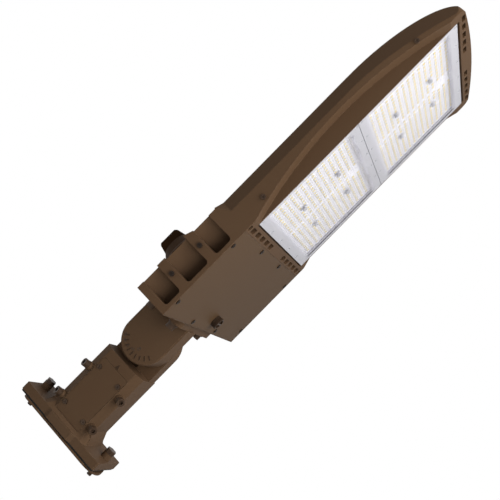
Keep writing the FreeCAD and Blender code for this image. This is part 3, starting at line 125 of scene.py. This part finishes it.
class LampSettings(bpy.types.PropertyGroup):
    """The lamp boards, their chips and their optics."""
    mask: colour("Solder mask", "White coat of the lamp boards", 247, 246, 248)
    trace: colour("Traces", "Copper runs that show through the mask", 226, 224, 236)
    phosphor: colour("Phosphor", "Yellow top of each chip", 255, 226, 84)
    lens: colour("Lens", "Clear trays over the boards", 238, 236, 247)
    frost: colour("Frosted rim", "Rim of the trays, which hides the seal", 196, 195, 201)
    columns: IntProperty(name="Columns", description="Columns of chips on a board", default=15)
    rows: IntProperty(name="Rows", description="Chips in each half of a column", default=11)
    column_pitch: length("Column pitch", "Between columns, along the light", 10.15)
    row_pitch: length("Row pitch", "Between chips, across the light", 12.4)
    first_row: length("First row", "From the middle to the first chip", 10.0)
    rear_start: length("Rear board start", "From the rear lens's edge to its first column", 25.0)
    front_start: length("Front board start", "From the front lens's edge to its first column", 21.9)
    chip_length: length("Chip length", "Along the light", 4.4)
    chip_width: length("Chip width", "Across the light", 6.6)
    chip_height: length("Chip height", "Below the board", 0.75)
    optic_height: length("Optic height", "How far a dome stands out of the lens", 1.7)


class ScaleSettings(bpy.types.PropertyGroup):
    """The numbers of the tilt scale."""
    size: length("Number height", "Height of the raised numbers", 6.2)
    reach: length("Number circle", "Radius of the circle that the numbers stand on", 17.0)
    proud: length("Number relief", "How far the numbers stand out", 0.5)
    ink: colour("Number colour", "Dark paint on the raised numbers and ticks", 58, 44, 33)


class StageSettings(bpy.types.PropertyGroup):
    """Floor, background, lamps and camera."""
    floor: colour("Floor", "Pale floor under the light", 236, 236, 235)
    floor_drop: length("Floor drop", "How far below the arm's axis the floor lies", 1150.0)
    ambient: FloatProperty(name="Ambient", description="Strength of the even light all round",
                           default=0.28)
    under: FloatProperty(name="Lamp from below", description="Power in watts", default=29.0)
    tip: FloatProperty(name="Lamp at the tip", description="Power in watts", default=11.0)
    top: FloatProperty(name="Lamp from above", description="Power in watts", default=6.0)
    focal: FloatProperty(name="Focal length", description="Camera lens in millimetres", default=70.8)
    eye: FloatVectorProperty(name="Eye", description="Where the camera stands", subtype="TRANSLATION",
                             size=3, default=(0.421, -1.3763, -0.4218))
    rise: FloatProperty(name="Rise", description="How far the camera looks up", subtype="ANGLE",
                        default=math.radians(17.3))
    roll: FloatProperty(name="Roll", description="How far the camera is rolled", subtype="ANGLE",
                        default=math.radians(45.45))
    shift: FloatVectorProperty(name="Shift", description="Camera shift that frames the light", size=2,
                               default=(-0.0226, -0.0474))


# ---- shader sums ----------------------------------------------------------------------------------
class Value:
    """A shader socket on which sums are written as plain expressions."""

    def __init__(self, finish, socket):
        self.finish = finish
        self.socket = socket

    def sum(self, operation, first, second):
        return self.finish.node("ShaderNodeMath", {"operation": operation}, {0: first, 1: second})

    def __add__(self, other):
        return self.sum("ADD", self, other)

    def __sub__(self, other):
        return self.sum("SUBTRACT", self, other)

    def __rsub__(self, other):
        return self.sum("SUBTRACT", other, self)

    def __mul__(self, other):
        return self.sum("MULTIPLY", self, other)

    def __abs__(self):
        return self.sum("ABSOLUTE", self, 0)

    __radd__ = __add__
    __rmul__ = __mul__

    def least(self, other):
        return self.sum("MINIMUM", self, other)

    def most(self, other):
        return self.sum("MAXIMUM", self, other)

    def cut(self):
        """Held between 0 and 1."""
        return self.least(1).most(0)

    def within(self, pitch):
        """The distance to the nearest multiple of a pitch."""
        return self.sum("PINGPONG", self, pitch / 2)

    def eased(self, low, high):
        """0 at low, 1 at high, and a smooth step between."""
        return self.finish.node("ShaderNodeMapRange", {"interpolation_type": "SMOOTHSTEP"},
                                {"Value": self, "From Min": low, "From Max": high})


class Nodes:
    """The nodes of one tree, of a material or of the world."""

    def __init__(self, tree):
        self.tree = tree

    def node(self, kind, settings=None, sockets=None, output=0):
        """Adds a node: its settings first, then its sockets' values or links."""
        made = self.tree.nodes.new(kind)
        for name, setting in (settings or {}).items():
            setattr(made, name, setting)
        for name, content in (sockets or {}).items():
            self.plug(made.inputs[name], content)
        return Value(self, made.outputs[output])

    def plug(self, socket, content):
        if isinstance(content, Value):
            self.tree.links.new(content.socket, socket)
        elif socket.type == "RGBA" and len(content) == 3:
            socket.default_value = (*content, 1)
        else:
            socket.default_value = content


class Finish(Nodes):
    """A material that is being written."""

    def __init__(self, name, **constants):
        self.material = bpy.data.materials.new(name)
        self.material.use_nodes = True
        super().__init__(self.material.node_tree)
        self.shader = self.tree.nodes["Principled BSDF"]
        self.output = self.tree.nodes["Material Output"]
        self.set(**constants)

    def set(self, **sockets):
        """Sets or links the shader's own sockets, written as Base_Color and so on."""
        for name, content in sockets.items():
            self.plug(self.shader.inputs[name.replace("_", " ")], content)

    def place(self):
        """Where a point is on the object, in metres."""
        return self.node("ShaderNodeTexCoord", output="Object")

    def axis(self, place, name):
        return self.node("ShaderNodeSeparateXYZ", None, {0: place}, name)

    def noise(self, place, size, detail=2.0, stretch=None):
        """Soft spots of about one size, 0 to 1."""
        if stretch:
            place = self.node("ShaderNodeVectorMath", {"operation": "MULTIPLY"},
                              {0: place, 1: stretch})
        return self.node("ShaderNodeTexNoise", None,
                         {"Vector": place, "Scale": 1 / size, "Detail": detail})

    def cells(self, place, size):
        """Small pits or grains of about one size."""
        return self.node("ShaderNodeTexVoronoi", None, {"Vector": place, "Scale": 1 / size})

    def mixed(self, amount, first, second):
        """One colour over another by an amount."""
        return self.node("ShaderNodeMix", {"data_type": "RGBA"}, {0: amount, 6: first, 7: second}, 2)

    def rounded(self, radius):
        """The surface's direction with its corners rounded."""
        return self.node("ShaderNodeBevel", {"samples": 4}, {"Radius": radius})

    def corners(self, rounded):
        """1 on a corner and 0 away from it."""
        flat = self.node("ShaderNodeNewGeometry", output="Normal")
        match = self.node("ShaderNodeVectorMath", {"operation": "DOT_PRODUCT"},
                          {0: rounded, 1: flat}, "Value")
        return ((1 - match) * 9).cut()

    def relief(self, height, depth, strength=1.0, rounded=None):
        """Bumps of a height map, on the surface or on its rounded corners."""
        sockets = {"Height": height, "Distance": depth, "Strength": strength}
        if rounded:
            sockets["Normal"] = rounded
        self.set(Normal=self.node("ShaderNodeBump", None, sockets))


def put_on(material, *nodes):
    """Gives CAD nodes a finish."""
    for name in nodes:
        slots = frame["nodes"][name].data.materials
        slots.clear()
        slots.append(material)


# ---- finishes -------------------------------------------------------------------------------------
def coated_metal(name, base, worn, dusty, edge, grain, gloss, sheen, painted=None):
    """Powder coat with orange peel, broad patches of dust, and corners painted lighter in patches:
    partly rubbed wear, partly a painted highlight along the edges.

    painted gives a level on Y below which the surface is dark ink, between two places on X.
    """
    f = Finish(name, Specular_IOR_Level=sheen)
    place = f.place()
    broad = f.noise(place, 0.16, 3)
    spots = f.noise(place, 0.012, 4)
    peel = f.noise(place, grain, 2)
    round_edge = f.rounded(edge)
    # corners painted lighter in patches: partly rubbed wear, partly a painted highlight along the
    # edges
    rubbed_and_highlit = f.corners(round_edge) * spots.eased(0.35, 0.75)
    dust = broad.eased(0.45, 0.8) * 0.30 + spots.eased(0.5, 0.9) * 0.12
    tone = f.mixed(dust, base, dusty)
    coat = f.mixed(rubbed_and_highlit * 0.55, tone, worn)
    if painted:
        level, start, end, ink = painted
        along = f.axis(place, "X")
        marks = along.eased(start - MM, start) * (1 - along.eased(end, end + MM))
        marks = marks * (1 - f.axis(place, "Y").eased(level - 0.1 * MM, level))
        coat = f.mixed(marks * (0.75 + spots * 0.25), coat, ink)
    f.set(Base_Color=coat, Roughness=(gloss + peel * 0.14 + dust * 0.2 - rubbed_and_highlit * 0.12).cut())
    f.relief(peel, grain * 0.12, 0.35, round_edge)
    return f.material


def turned_steel(name, base, size):
    """Bare metal with fine turning marks."""
    f = Finish(name, Metallic=1.0)
    place = f.place()
    marks = f.noise(place, size, 3, (1, 1, 5))
    smudge = f.noise(place, 0.01, 3)
    darker = tuple(c * 0.72 for c in base)
    f.set(Base_Color=f.mixed(smudge * 0.6, base, darker), Roughness=0.24 + marks * 0.22)
    f.relief(marks, size * 0.2, 0.3, f.rounded(0.3 * MM))
    return f.material


def moulded(name, base, gloss, grain, sheen=0.35):
    """Moulded plastic with a fine spark-eroded grain and scuffed corners."""
    f = Finish(name, Specular_IOR_Level=sheen)
    place = f.place()
    pits = f.cells(place, grain)
    broad = f.noise(place, 0.03, 3)
    round_edge = f.rounded(0.6 * MM)
    scuffed = f.corners(round_edge) * f.noise(place, 0.004, 3).eased(0.4, 0.7)
    lighter = tuple(min(1, c * 1.6 + 0.02) for c in base)
    darker = tuple(c * 0.82 for c in base)
    tone = f.mixed(broad.eased(0.3, 0.7), base, darker)
    f.set(Base_Color=f.mixed(scuffed * 0.4, tone, lighter), Roughness=gloss + broad * 0.12)
    f.relief(pits, grain * 0.15, 0.3, round_edge)
    return f.material


def rubber_sheet(name, base):
    """Matt rubber, a little chalky in patches."""
    f = Finish(name, Specular_IOR_Level=0.25)
    place = f.place()
    chalk = f.noise(place, 0.02, 4).eased(0.45, 0.8)
    fine = f.noise(place, 0.0007, 2)
    chalky = tuple(c + 0.03 for c in base)
    f.set(Base_Color=f.mixed(chalk * 0.6, base, chalky), Roughness=0.72 + fine * 0.2)
    f.relief(fine, 0.1 * MM, 0.4)
    return f.material


def lamp_board(name, lamp, first):
    """White solder mask with copper runs beside each column of chips."""
    f = Finish(name, Specular_IOR_Level=0.45)
    place = f.place()
    along = f.axis(place, "X") - (first + lamp.column_pitch / 2)
    across = f.axis(place, "Y") - (lamp.first_row - lamp.row_pitch / 2)
    run = 1 - along.within(lamp.column_pitch).eased(0.7 * MM, 1.0 * MM)
    link = (1 - across.within(lamp.row_pitch).eased(0.4 * MM, 0.6 * MM)) * 0.7
    copper = run.most(link)
    haze = f.noise(place, 0.03, 3)
    f.set(Base_Color=f.mixed((copper * 0.7 + haze * 0.15).cut(), lamp.mask, lamp.trace),
          Roughness=0.38 + haze * 0.1)
    f.relief(copper, 0.05 * MM, 0.6)
    return f.material


def clear_tray(name, lamp, box):
    """Clear plastic with a frosted rim that fades inward, and a moulded haze."""
    low, high = box
    middle = (low + high) / 2
    f = Finish(name, IOR=ACRYLIC_INDEX)
    place = f.place()
    from_end = (high.x - middle.x) - abs(f.axis(place, "X") - middle.x)
    from_side = high.y - abs(f.axis(place, "Y"))
    end_rim = 1 - from_end.eased(*END_FROST)
    rim = end_rim.most(1 - from_side.eased(*SIDE_FROST))
    haze = f.noise(place, 0.02, 3)
    fine = f.noise(place, 0.0006, 2)
    f.set(Base_Color=f.mixed(rim, lamp.lens, lamp.frost),
          Alpha=(0.06 + haze * 0.05 + rim * 0.80).cut(),
          Roughness=0.16 + rim * 0.3 + haze * 0.06)
    f.relief(fine * rim + haze * 0.3, 0.1 * MM, 0.3, f.rounded(0.4 * MM))
    return f.material


def clear_dome(name, lamp):
    """The clear plastic of the small optics."""
    f = Finish(name, IOR=ACRYLIC_INDEX)
    haze = f.noise(f.place(), 0.004, 2)
    f.set(Base_Color=f.mixed(haze, lamp.lens, tuple(c * 0.9 for c in lamp.lens)),
          Alpha=0.08 + haze * 0.08, Roughness=0.1 + haze * 0.08)
    return f.material


def chip_phosphor(name, shade):
    f = Finish(name, Specular_IOR_Level=0.5)
    mottle = f.noise(f.place(), 0.0008, 2)
    f.set(Base_Color=f.mixed(mottle * 0.4, shade, tuple(c * 0.85 for c in shade)),
          Roughness=0.35 + mottle * 0.1)
    return f.material


# ---- pieces ---------------------------------------------------------------------------------------
def made(name, mesh, materials, body, slot):
    """Puts a mesh on the object: its finishes and the body that it rides on. The slot is not used."""
    for material in materials:
        mesh.materials.append(material)
    piece = bpy.data.objects.new(name, mesh)
    bpy.context.scene.collection.objects.link(piece)
    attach(piece, body)
    return piece


def repeated(name, pattern, places):
    """One mesh that holds a copy of the pattern at each place."""
    corners = []
    faces = []
    finishes = []
    pattern.verts.index_update()
    for place in places:
        first = len(corners)
        corners += [v.co + place for v in pattern.verts]
        faces += [[first + v.index for v in face.verts] for face in pattern.faces]
        finishes += [face.material_index for face in pattern.faces]
    smooth = [face.smooth for face in pattern.faces] * len(places)
    pattern.free()
    mesh = bpy.data.meshes.new(name)
    mesh.from_pydata(corners, [], faces)
    mesh.polygons.foreach_set("material_index", finishes)
    mesh.polygons.foreach_set("use_smooth", smooth)
    mesh.update()
    return mesh


def chip_pattern(lamp):
    """A white package with bevelled edges and a slightly raised yellow top, hanging from z = 0."""
    pattern = bmesh.new()
    bmesh.ops.create_cube(pattern, size=1)
    scale = Vector((lamp.chip_length, lamp.chip_width, lamp.chip_height))
    bmesh.ops.scale(pattern, vec=scale, verts=pattern.verts)
    bmesh.ops.translate(pattern, vec=DOWN * lamp.chip_height / 2, verts=pattern.verts)
    lower = [e for e in pattern.edges if all(v.co.z < -lamp.chip_height / 2 for v in e.verts)]
    bmesh.ops.bevel(pattern, geom=lower, offset=0.3 * MM, segments=1, affect="EDGES")
    top = min(pattern.faces, key=lambda face: face.calc_center_median().z)
    bmesh.ops.inset_region(pattern, faces=[top], thickness=0.25 * MM, depth=0)
    dome = bmesh.ops.inset_region(pattern, faces=[top], thickness=0.35 * MM, depth=0.08 * MM)
    for face in [top] + dome["faces"]:
        face.material_index = 1
    return pattern


def optic_pattern(lamp):
    """A low closed dome that stands down from the lens's face."""
    pattern = bmesh.new()
    bmesh.ops.create_uvsphere(pattern, u_segments=14, v_segments=8, radius=1)
    bmesh.ops.bisect_plane(pattern, geom=pattern.verts[:] + pattern.edges[:] + pattern.faces[:],
                           plane_co=Vector((0, 0, 0)), plane_no=Vector((0, 0, 1)),
                           clear_outer=True)
    rim = [e for e in pattern.edges if e.is_boundary]
    bmesh.ops.holes_fill(pattern, edges=rim)
    for face in pattern.faces:
        face.smooth = len(face.verts) < 5
    scale = Vector((lamp.column_pitch * 0.46, lamp.row_pitch * 0.46, lamp.optic_height))
    bmesh.ops.scale(pattern, vec=scale, verts=pattern.verts)
    return pattern


def chip_places(lamp, lens_box, start, level):
    """Where the chips of one board sit, clear of its screws and of its connector."""
    low, high = lens_box
    reach = high.x - low.x
    screws = [Vector((low.x + share * reach, side * SCREW_SIDE)) for share in SCREW_SHARES
              for side in (-1, 1)]
    places = []
    for column in range(lamp.columns):
        x = low.x + start + column * lamp.column_pitch
        skipped = 1 if column >= lamp.columns - CONNECTOR_COLUMNS else 0
        for row in range(skipped, lamp.rows):
            for side in (-1, 1):
                y = side * (lamp.first_row + row * lamp.row_pitch)
                if all((Vector((x, y)) - screw).length > SCREW_CLEARANCE for screw in screws):
                    places.append(Vector((x, y, level)))
    return places


class LampPiece:
    """What the operators for the two lamp modules share."""
    modules = (("rear", "rear_start"), ("front", "front_start"))

    def lens_box(self, side):
        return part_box("lens_" + side)

    def places(self, lamp, side, start, level):
        return chip_places(lamp, self.lens_box(side), getattr(lamp, start), level)


class AREALIGHT_OT_castings(bpy.types.Operator):
    """Coats the castings, the cover and the plates with textured bronze powder"""
    bl_idname = "arealight.castings"
    bl_label = "Coat castings"

    def execute(self, context):
        coat = context.scene.arealight_coat
        scale = context.scene.arealight_scale
        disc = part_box("friction_ring")
        raised = (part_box("arm_hatch")[0].y - scale.proud / 2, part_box("arm_hatch")[1].x, disc[1].x,
                  scale.ink)
        put_on(self.coated("bronze_powder_coat", coat), "housing", "pole_plate", "arm_hatch")
        put_on(self.coated("bronze_coat_with_marks", coat, raised), "knuckle", "mount_arm")
        sheet = coated_metal("sheet_powder_coat", coat.sheet, coat.worn, coat.dusty, coat.edge,
                             coat.grain, 0.5, 0.1)
        put_on(sheet, "driver_cover")
        return {"FINISHED"}

    def coated(self, name, coat, painted=None):
        return coated_metal(name, coat.bronze, coat.worn, coat.dusty, coat.edge, coat.grain, 0.55,
                            0.08, painted)


class AREALIGHT_OT_fasteners(bpy.types.Operator):
    """Finishes the coated bolts, the bare screws and the brass pieces"""
    bl_idname = "arealight.fasteners"
    bl_label = "Finish fasteners"

    def execute(self, context):
        coat = context.scene.arealight_coat
        plain = context.scene.arealight_plastic
        # the bolts' lighter edges are partly wear, partly a painted highlight
        bolts = coated_metal("baked_bolt_coat", coat.bolt, coat.bolt_worn, coat.dusty,
                             0.5 * MM, 0.4 * MM, 0.34, 0.22)
        put_on(bolts, "pole_bolts", "pole_washers", "clamp_bolts", "knuckle_screws",
               "knuckle_washers", "arm_hatch_screws", "wing_screws")
        small = coated_metal("small_screw_coat", coat.screw, coat.screw_worn, coat.bolt,
                             0.3 * MM, 0.3 * MM, 0.40, 0.2)
        put_on(small, "cover_screws", "rib_screws")
        put_on(turned_steel("stainless_steel", plain.steel, 0.5 * MM), "pivot_bolt", "pivot_washer",
               "gear_screws", "receptacle_screws")
        put_on(moulded("zinc_plating", plain.zinc, 0.35, 0.5 * MM), "module_screws", "edge_screws")
        put_on(turned_steel("rolled_brass", plain.brass, 0.6 * MM), "friction_ring", "cell_blades")
        return {"FINISHED"}


class AREALIGHT_OT_seals(bpy.types.Operator):
    """Gives the seals and pads a matt rubber"""
    bl_idname = "arealight.seals"
    bl_label = "Finish seals"

    def execute(self, context):
        plain = context.scene.arealight_plastic
        put_on(rubber_sheet("seal_rubber", plain.rubber), "pole_pad", "arm_hatch_pad",
               "knuckle_seal", "cover_pad", "plug_washer", "receptacle_pad", "cell_seal",
               "lens_seal_rear", "lens_seal_front")
        return {"FINISHED"}


class AREALIGHT_OT_plastics(bpy.types.Operator):
    """Finishes the photocell, its receptacle and the sensor plug"""
    bl_idname = "arealight.plastics"
    bl_label = "Finish plastics"

    def execute(self, context):
        plain = context.scene.arealight_plastic
        put_on(moulded("cap_plastic", plain.cap, 0.55, 0.5 * MM, 0.05), "photocell", "receptacle")
        put_on(moulded("plug_plastic", plain.plug, 0.42, 0.4 * MM, 0.2), "sensor_plug")
        return {"FINISHED"}


class AREALIGHT_OT_gear(bpy.types.Operator):
    """Finishes the driver, the surge protector and the terminal block inside the box"""
    bl_idname = "arealight.gear"
    bl_label = "Finish gear"

    def execute(self, context):
        plain = context.scene.arealight_plastic
        put_on(turned_steel("pressed_aluminium", plain.case, 2 * MM), "led_driver")
        put_on(moulded("potted_case", plain.rubber, 0.45, 0.5 * MM), "surge_protector")
        put_on(moulded("white_terminal_plastic", plain.white, 0.4, 0.4 * MM), "terminal_block")
        return {"FINISHED"}


class AREALIGHT_OT_boards(LampPiece, bpy.types.Operator):
    """Finishes the lamp boards and sets their chips and connectors"""
    bl_idname = "arealight.boards"
    bl_label = "Make lamp boards"

    def execute(self, context):
        lamp = context.scene.arealight_lamp
        plain = context.scene.arealight_plastic
        package = moulded("chip_package", plain.white, 0.4, 0.3 * MM)
        phosphor = chip_phosphor("chip_phosphor", lamp.phosphor)
        for side, start in self.modules:
            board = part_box("board_" + side)
            first = self.lens_box(side)[0].x + getattr(lamp, start)
            put_on(lamp_board(f"lamp_board_{side}", lamp, first), "board_" + side)
            places = self.places(lamp, side, start, board[0].z)
            mesh = repeated(f"chips_{side}", chip_pattern(lamp), places)
            made(f"lamp_chips_{side}", mesh, [package, phosphor], "head", "board")
        put_on(moulded("connector_plastic", plain.white, 0.4, 0.4 * MM), "board_connectors")
        return {"FINISHED"}


class AREALIGHT_OT_lenses(LampPiece, bpy.types.Operator):
    """Makes the lens trays clear and adds the dome over each chip"""
    bl_idname = "arealight.lenses"
    bl_label = "Make lenses"

    def execute(self, context):
        lamp = context.scene.arealight_lamp
        dome = clear_dome("optic_plastic", lamp)
        for side, start in self.modules:
            box = self.lens_box(side)
            put_on(clear_tray(f"lens_plastic_{side}", lamp, box), "lens_" + side)
            places = self.places(lamp, side, start, box[0].z)
            mesh = repeated(f"optics_{side}", optic_pattern(lamp), places)
            made(f"lens_optics_{side}", mesh, [dome], "head", "lens")
        return {"FINISHED"}


class AREALIGHT_OT_scale(bpy.types.Operator):
    """Makes the numbers of the tilt scale, level with the near side of the knuckle's plate"""
    bl_idname = "arealight.scale"
    bl_label = "Make tilt scale"

    def execute(self, context):
        scale = context.scene.arealight_scale
        tilt = next(joint for joint in frame["joints"] if joint["name"] == "tilt")
        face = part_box("knuckle")[0].y + scale.proud
        middle = Vector((tilt["pos_m"][0], face, tilt["pos_m"][2]))
        ink = moulded("scale_paint", scale.ink, 0.5, 0.3 * MM)
        for degrees in (-60, -30, 0, 30, 60):
            turn = math.radians(degrees)
            up = Vector((-math.cos(turn), 0, math.sin(turn)))
            self.number(scale, str(abs(degrees)), middle + up * scale.reach, up, ink,
                        f"scale_number_{degrees + 60}")
        return {"FINISHED"}

    def number(self, scale, text, place, up, ink, name):
        """One number with its top away from the pivot."""
        letters = bpy.data.curves.new(name, "FONT")
        letters.body = text
        letters.align_x = "CENTER"
        letters.align_y = "CENTER"
        letters.size = scale.size
        letters.extrude = scale.proud / 2
        drawn = bpy.data.objects.new(name, letters)
        out = Vector((0, -1, 0))
        turn = Matrix((up.cross(out), up, out)).transposed().to_4x4()
        mesh = bpy.data.meshes.new_from_object(drawn)
        mesh.transform(Matrix.Translation(place + out * scale.proud / 2) @ turn)
        bpy.data.objects.remove(drawn)
        made(name, mesh, [ink], "head", "bronze")


class AREALIGHT_OT_stage(bpy.types.Operator):
    """Sets the pale floor, the soft lamps, the white background and the camera"""
    bl_idname = "arealight.stage"
    bl_label = "Set stage"

    def execute(self, context):
        stage = context.scene.arealight_stage
        self.floor(stage)
        self.background(stage)
        middle = (cad_box[0] + cad_box[1]) / 2
        tip = Vector((cad_box[1].x, 0, 0))
        self.lamp("lamp_below", (0.70, -0.55, -1.10), middle, (1.7, 1.3), stage.under)
        self.lamp("lamp_at_tip", (1.75, -0.45, -0.55), tip, (0.8, 0.8), stage.tip)
        self.lamp("lamp_above", (0.1, -1.0, 1.9), middle, (1.6, 1.6), stage.top)
        self.camera(stage)
        context.scene.view_settings.view_transform = "Standard"
        return {"FINISHED"}

    def floor(self, stage):
        """A wide disc that turns into the white background far away."""
        disc = bmesh.new()
        bmesh.ops.create_circle(disc, cap_ends=True, segments=64, radius=9)
        mesh = bpy.data.meshes.new("floor")
        disc.to_mesh(mesh)
        disc.free()
        f = Finish("pale_floor", Base_Color=stage.floor, Roughness=0.9, Specular_IOR_Level=0.1)
        place = f.place()
        away = f.node("ShaderNodeVectorMath", {"operation": "LENGTH"}, {0: place}, "Value")
        seen = self.seen(f)
        white = f.node("ShaderNodeEmission", None, {"Color": (1, 1, 1, 1), "Strength": 1.0})
        join = f.node("ShaderNodeMixShader", None,
                      {0: away.eased(1.2, 4.0) * seen, 1: Value(f, f.shader.outputs[0]), 2: white})
        f.plug(f.output.inputs["Surface"], join)
        mesh.materials.append(f.material)
        floor = bpy.data.objects.new("floor", mesh)
        floor.location = (0.4, 0, -stage.floor_drop)
        bpy.context.scene.collection.objects.link(floor)

    def seen(self, f):
        """1 for what the camera sees, straight or in gloss or through glass."""
        path = f.tree.nodes.new("ShaderNodeLightPath")
        camera, gloss, glass = [Value(f, path.outputs[name]) for name in
                                ("Is Camera Ray", "Is Glossy Ray", "Is Transmission Ray")]
        return (camera + gloss + glass).cut()

    def background(self, stage):
        world = bpy.data.worlds.new("studio")
        world.use_nodes = True
        bpy.context.scene.world = world
        f = Nodes(world.node_tree)
        seen = self.seen(f)
        shader = f.tree.nodes["Background"]
        f.plug(shader.inputs["Color"], (1, 1, 1, 1))
        f.plug(shader.inputs["Strength"], stage.ambient + seen * (1 - stage.ambient))

    def lamp(self, name, place, target, size, power):
        light = bpy.data.lights.new(name, "AREA")
        light.shape = "RECTANGLE"
        light.size, light.size_y = size
        light.energy = power
        lamp = bpy.data.objects.new(name, light)
        lamp.location = place
        lamp.rotation_euler = (Vector(place) - target).to_track_quat("Z", "Y").to_euler()
        lamp.visible_camera = False
        lamp.visible_glossy = False
        bpy.context.scene.collection.objects.link(lamp)

    def camera(self, stage):
        lens = bpy.data.cameras.new("camera")
        lens.lens = stage.focal
        lens.sensor_width = 36
        lens.shift_x, lens.shift_y = stage.shift
        lens.clip_start = 0.01
        camera = bpy.data.objects.new("camera", lens)
        ahead = Vector((0, math.cos(stage.rise), math.sin(stage.rise)))
        over = Vector((0, -math.sin(stage.rise), math.cos(stage.rise)))
        along = Vector((1, 0, 0))
        right = math.cos(stage.roll) * along - math.sin(stage.roll) * over
        up = math.sin(stage.roll) * along + math.cos(stage.roll) * over
        turn = Matrix((right, up, -ahead)).transposed().to_4x4()
        camera.matrix_world = Matrix.Translation(stage.eye) @ turn
        bpy.context.scene.collection.objects.link(camera)
        bpy.context.scene.camera = camera


class AREALIGHT_PT_panel(bpy.types.Panel):
    """Lists the light's pieces and settings"""
    bl_idname = "AREALIGHT_PT_panel"
    bl_label = "Area Light"
    bl_space_type = "VIEW_3D"
    bl_region_type = "UI"
    bl_category = "Area Light"

    def draw(self, context):
        for operator in PIECES:
            self.layout.operator(operator.bl_idname)
        for name in SETTINGS:
            group = getattr(context.scene, name)
            box = self.layout.box()
            for key in group.__annotations__:
                box.prop(group, key)


PIECES = (AREALIGHT_OT_castings, AREALIGHT_OT_fasteners, AREALIGHT_OT_seals, AREALIGHT_OT_plastics,
          AREALIGHT_OT_gear, AREALIGHT_OT_boards, AREALIGHT_OT_lenses, AREALIGHT_OT_scale,
          AREALIGHT_OT_stage)
SETTINGS = {
    "arealight_coat": CoatSettings,
    "arealight_plastic": PlasticSettings,
    "arealight_lamp": LampSettings,
    "arealight_scale": ScaleSettings,
    "arealight_stage": StageSettings,
}


def register():
    for kind in (*SETTINGS.values(), *PIECES, AREALIGHT_PT_panel):
        bpy.utils.register_class(kind)
    for name, group in SETTINGS.items():
        setattr(bpy.types.Scene, name, PointerProperty(type=group))


def unregister():
    for name in SETTINGS:
        delattr(bpy.types.Scene, name)
    for kind in (AREALIGHT_PT_panel, *reversed(PIECES), *SETTINGS.values()):
        bpy.utils.unregister_class(kind)


def main():
    """Makes every piece in order."""
    register()
    for operator in PIECES:
        family, action = operator.bl_idname.split(".")
        getattr(getattr(bpy.ops, family), action)()


if __name__ == "__main__":
    main()
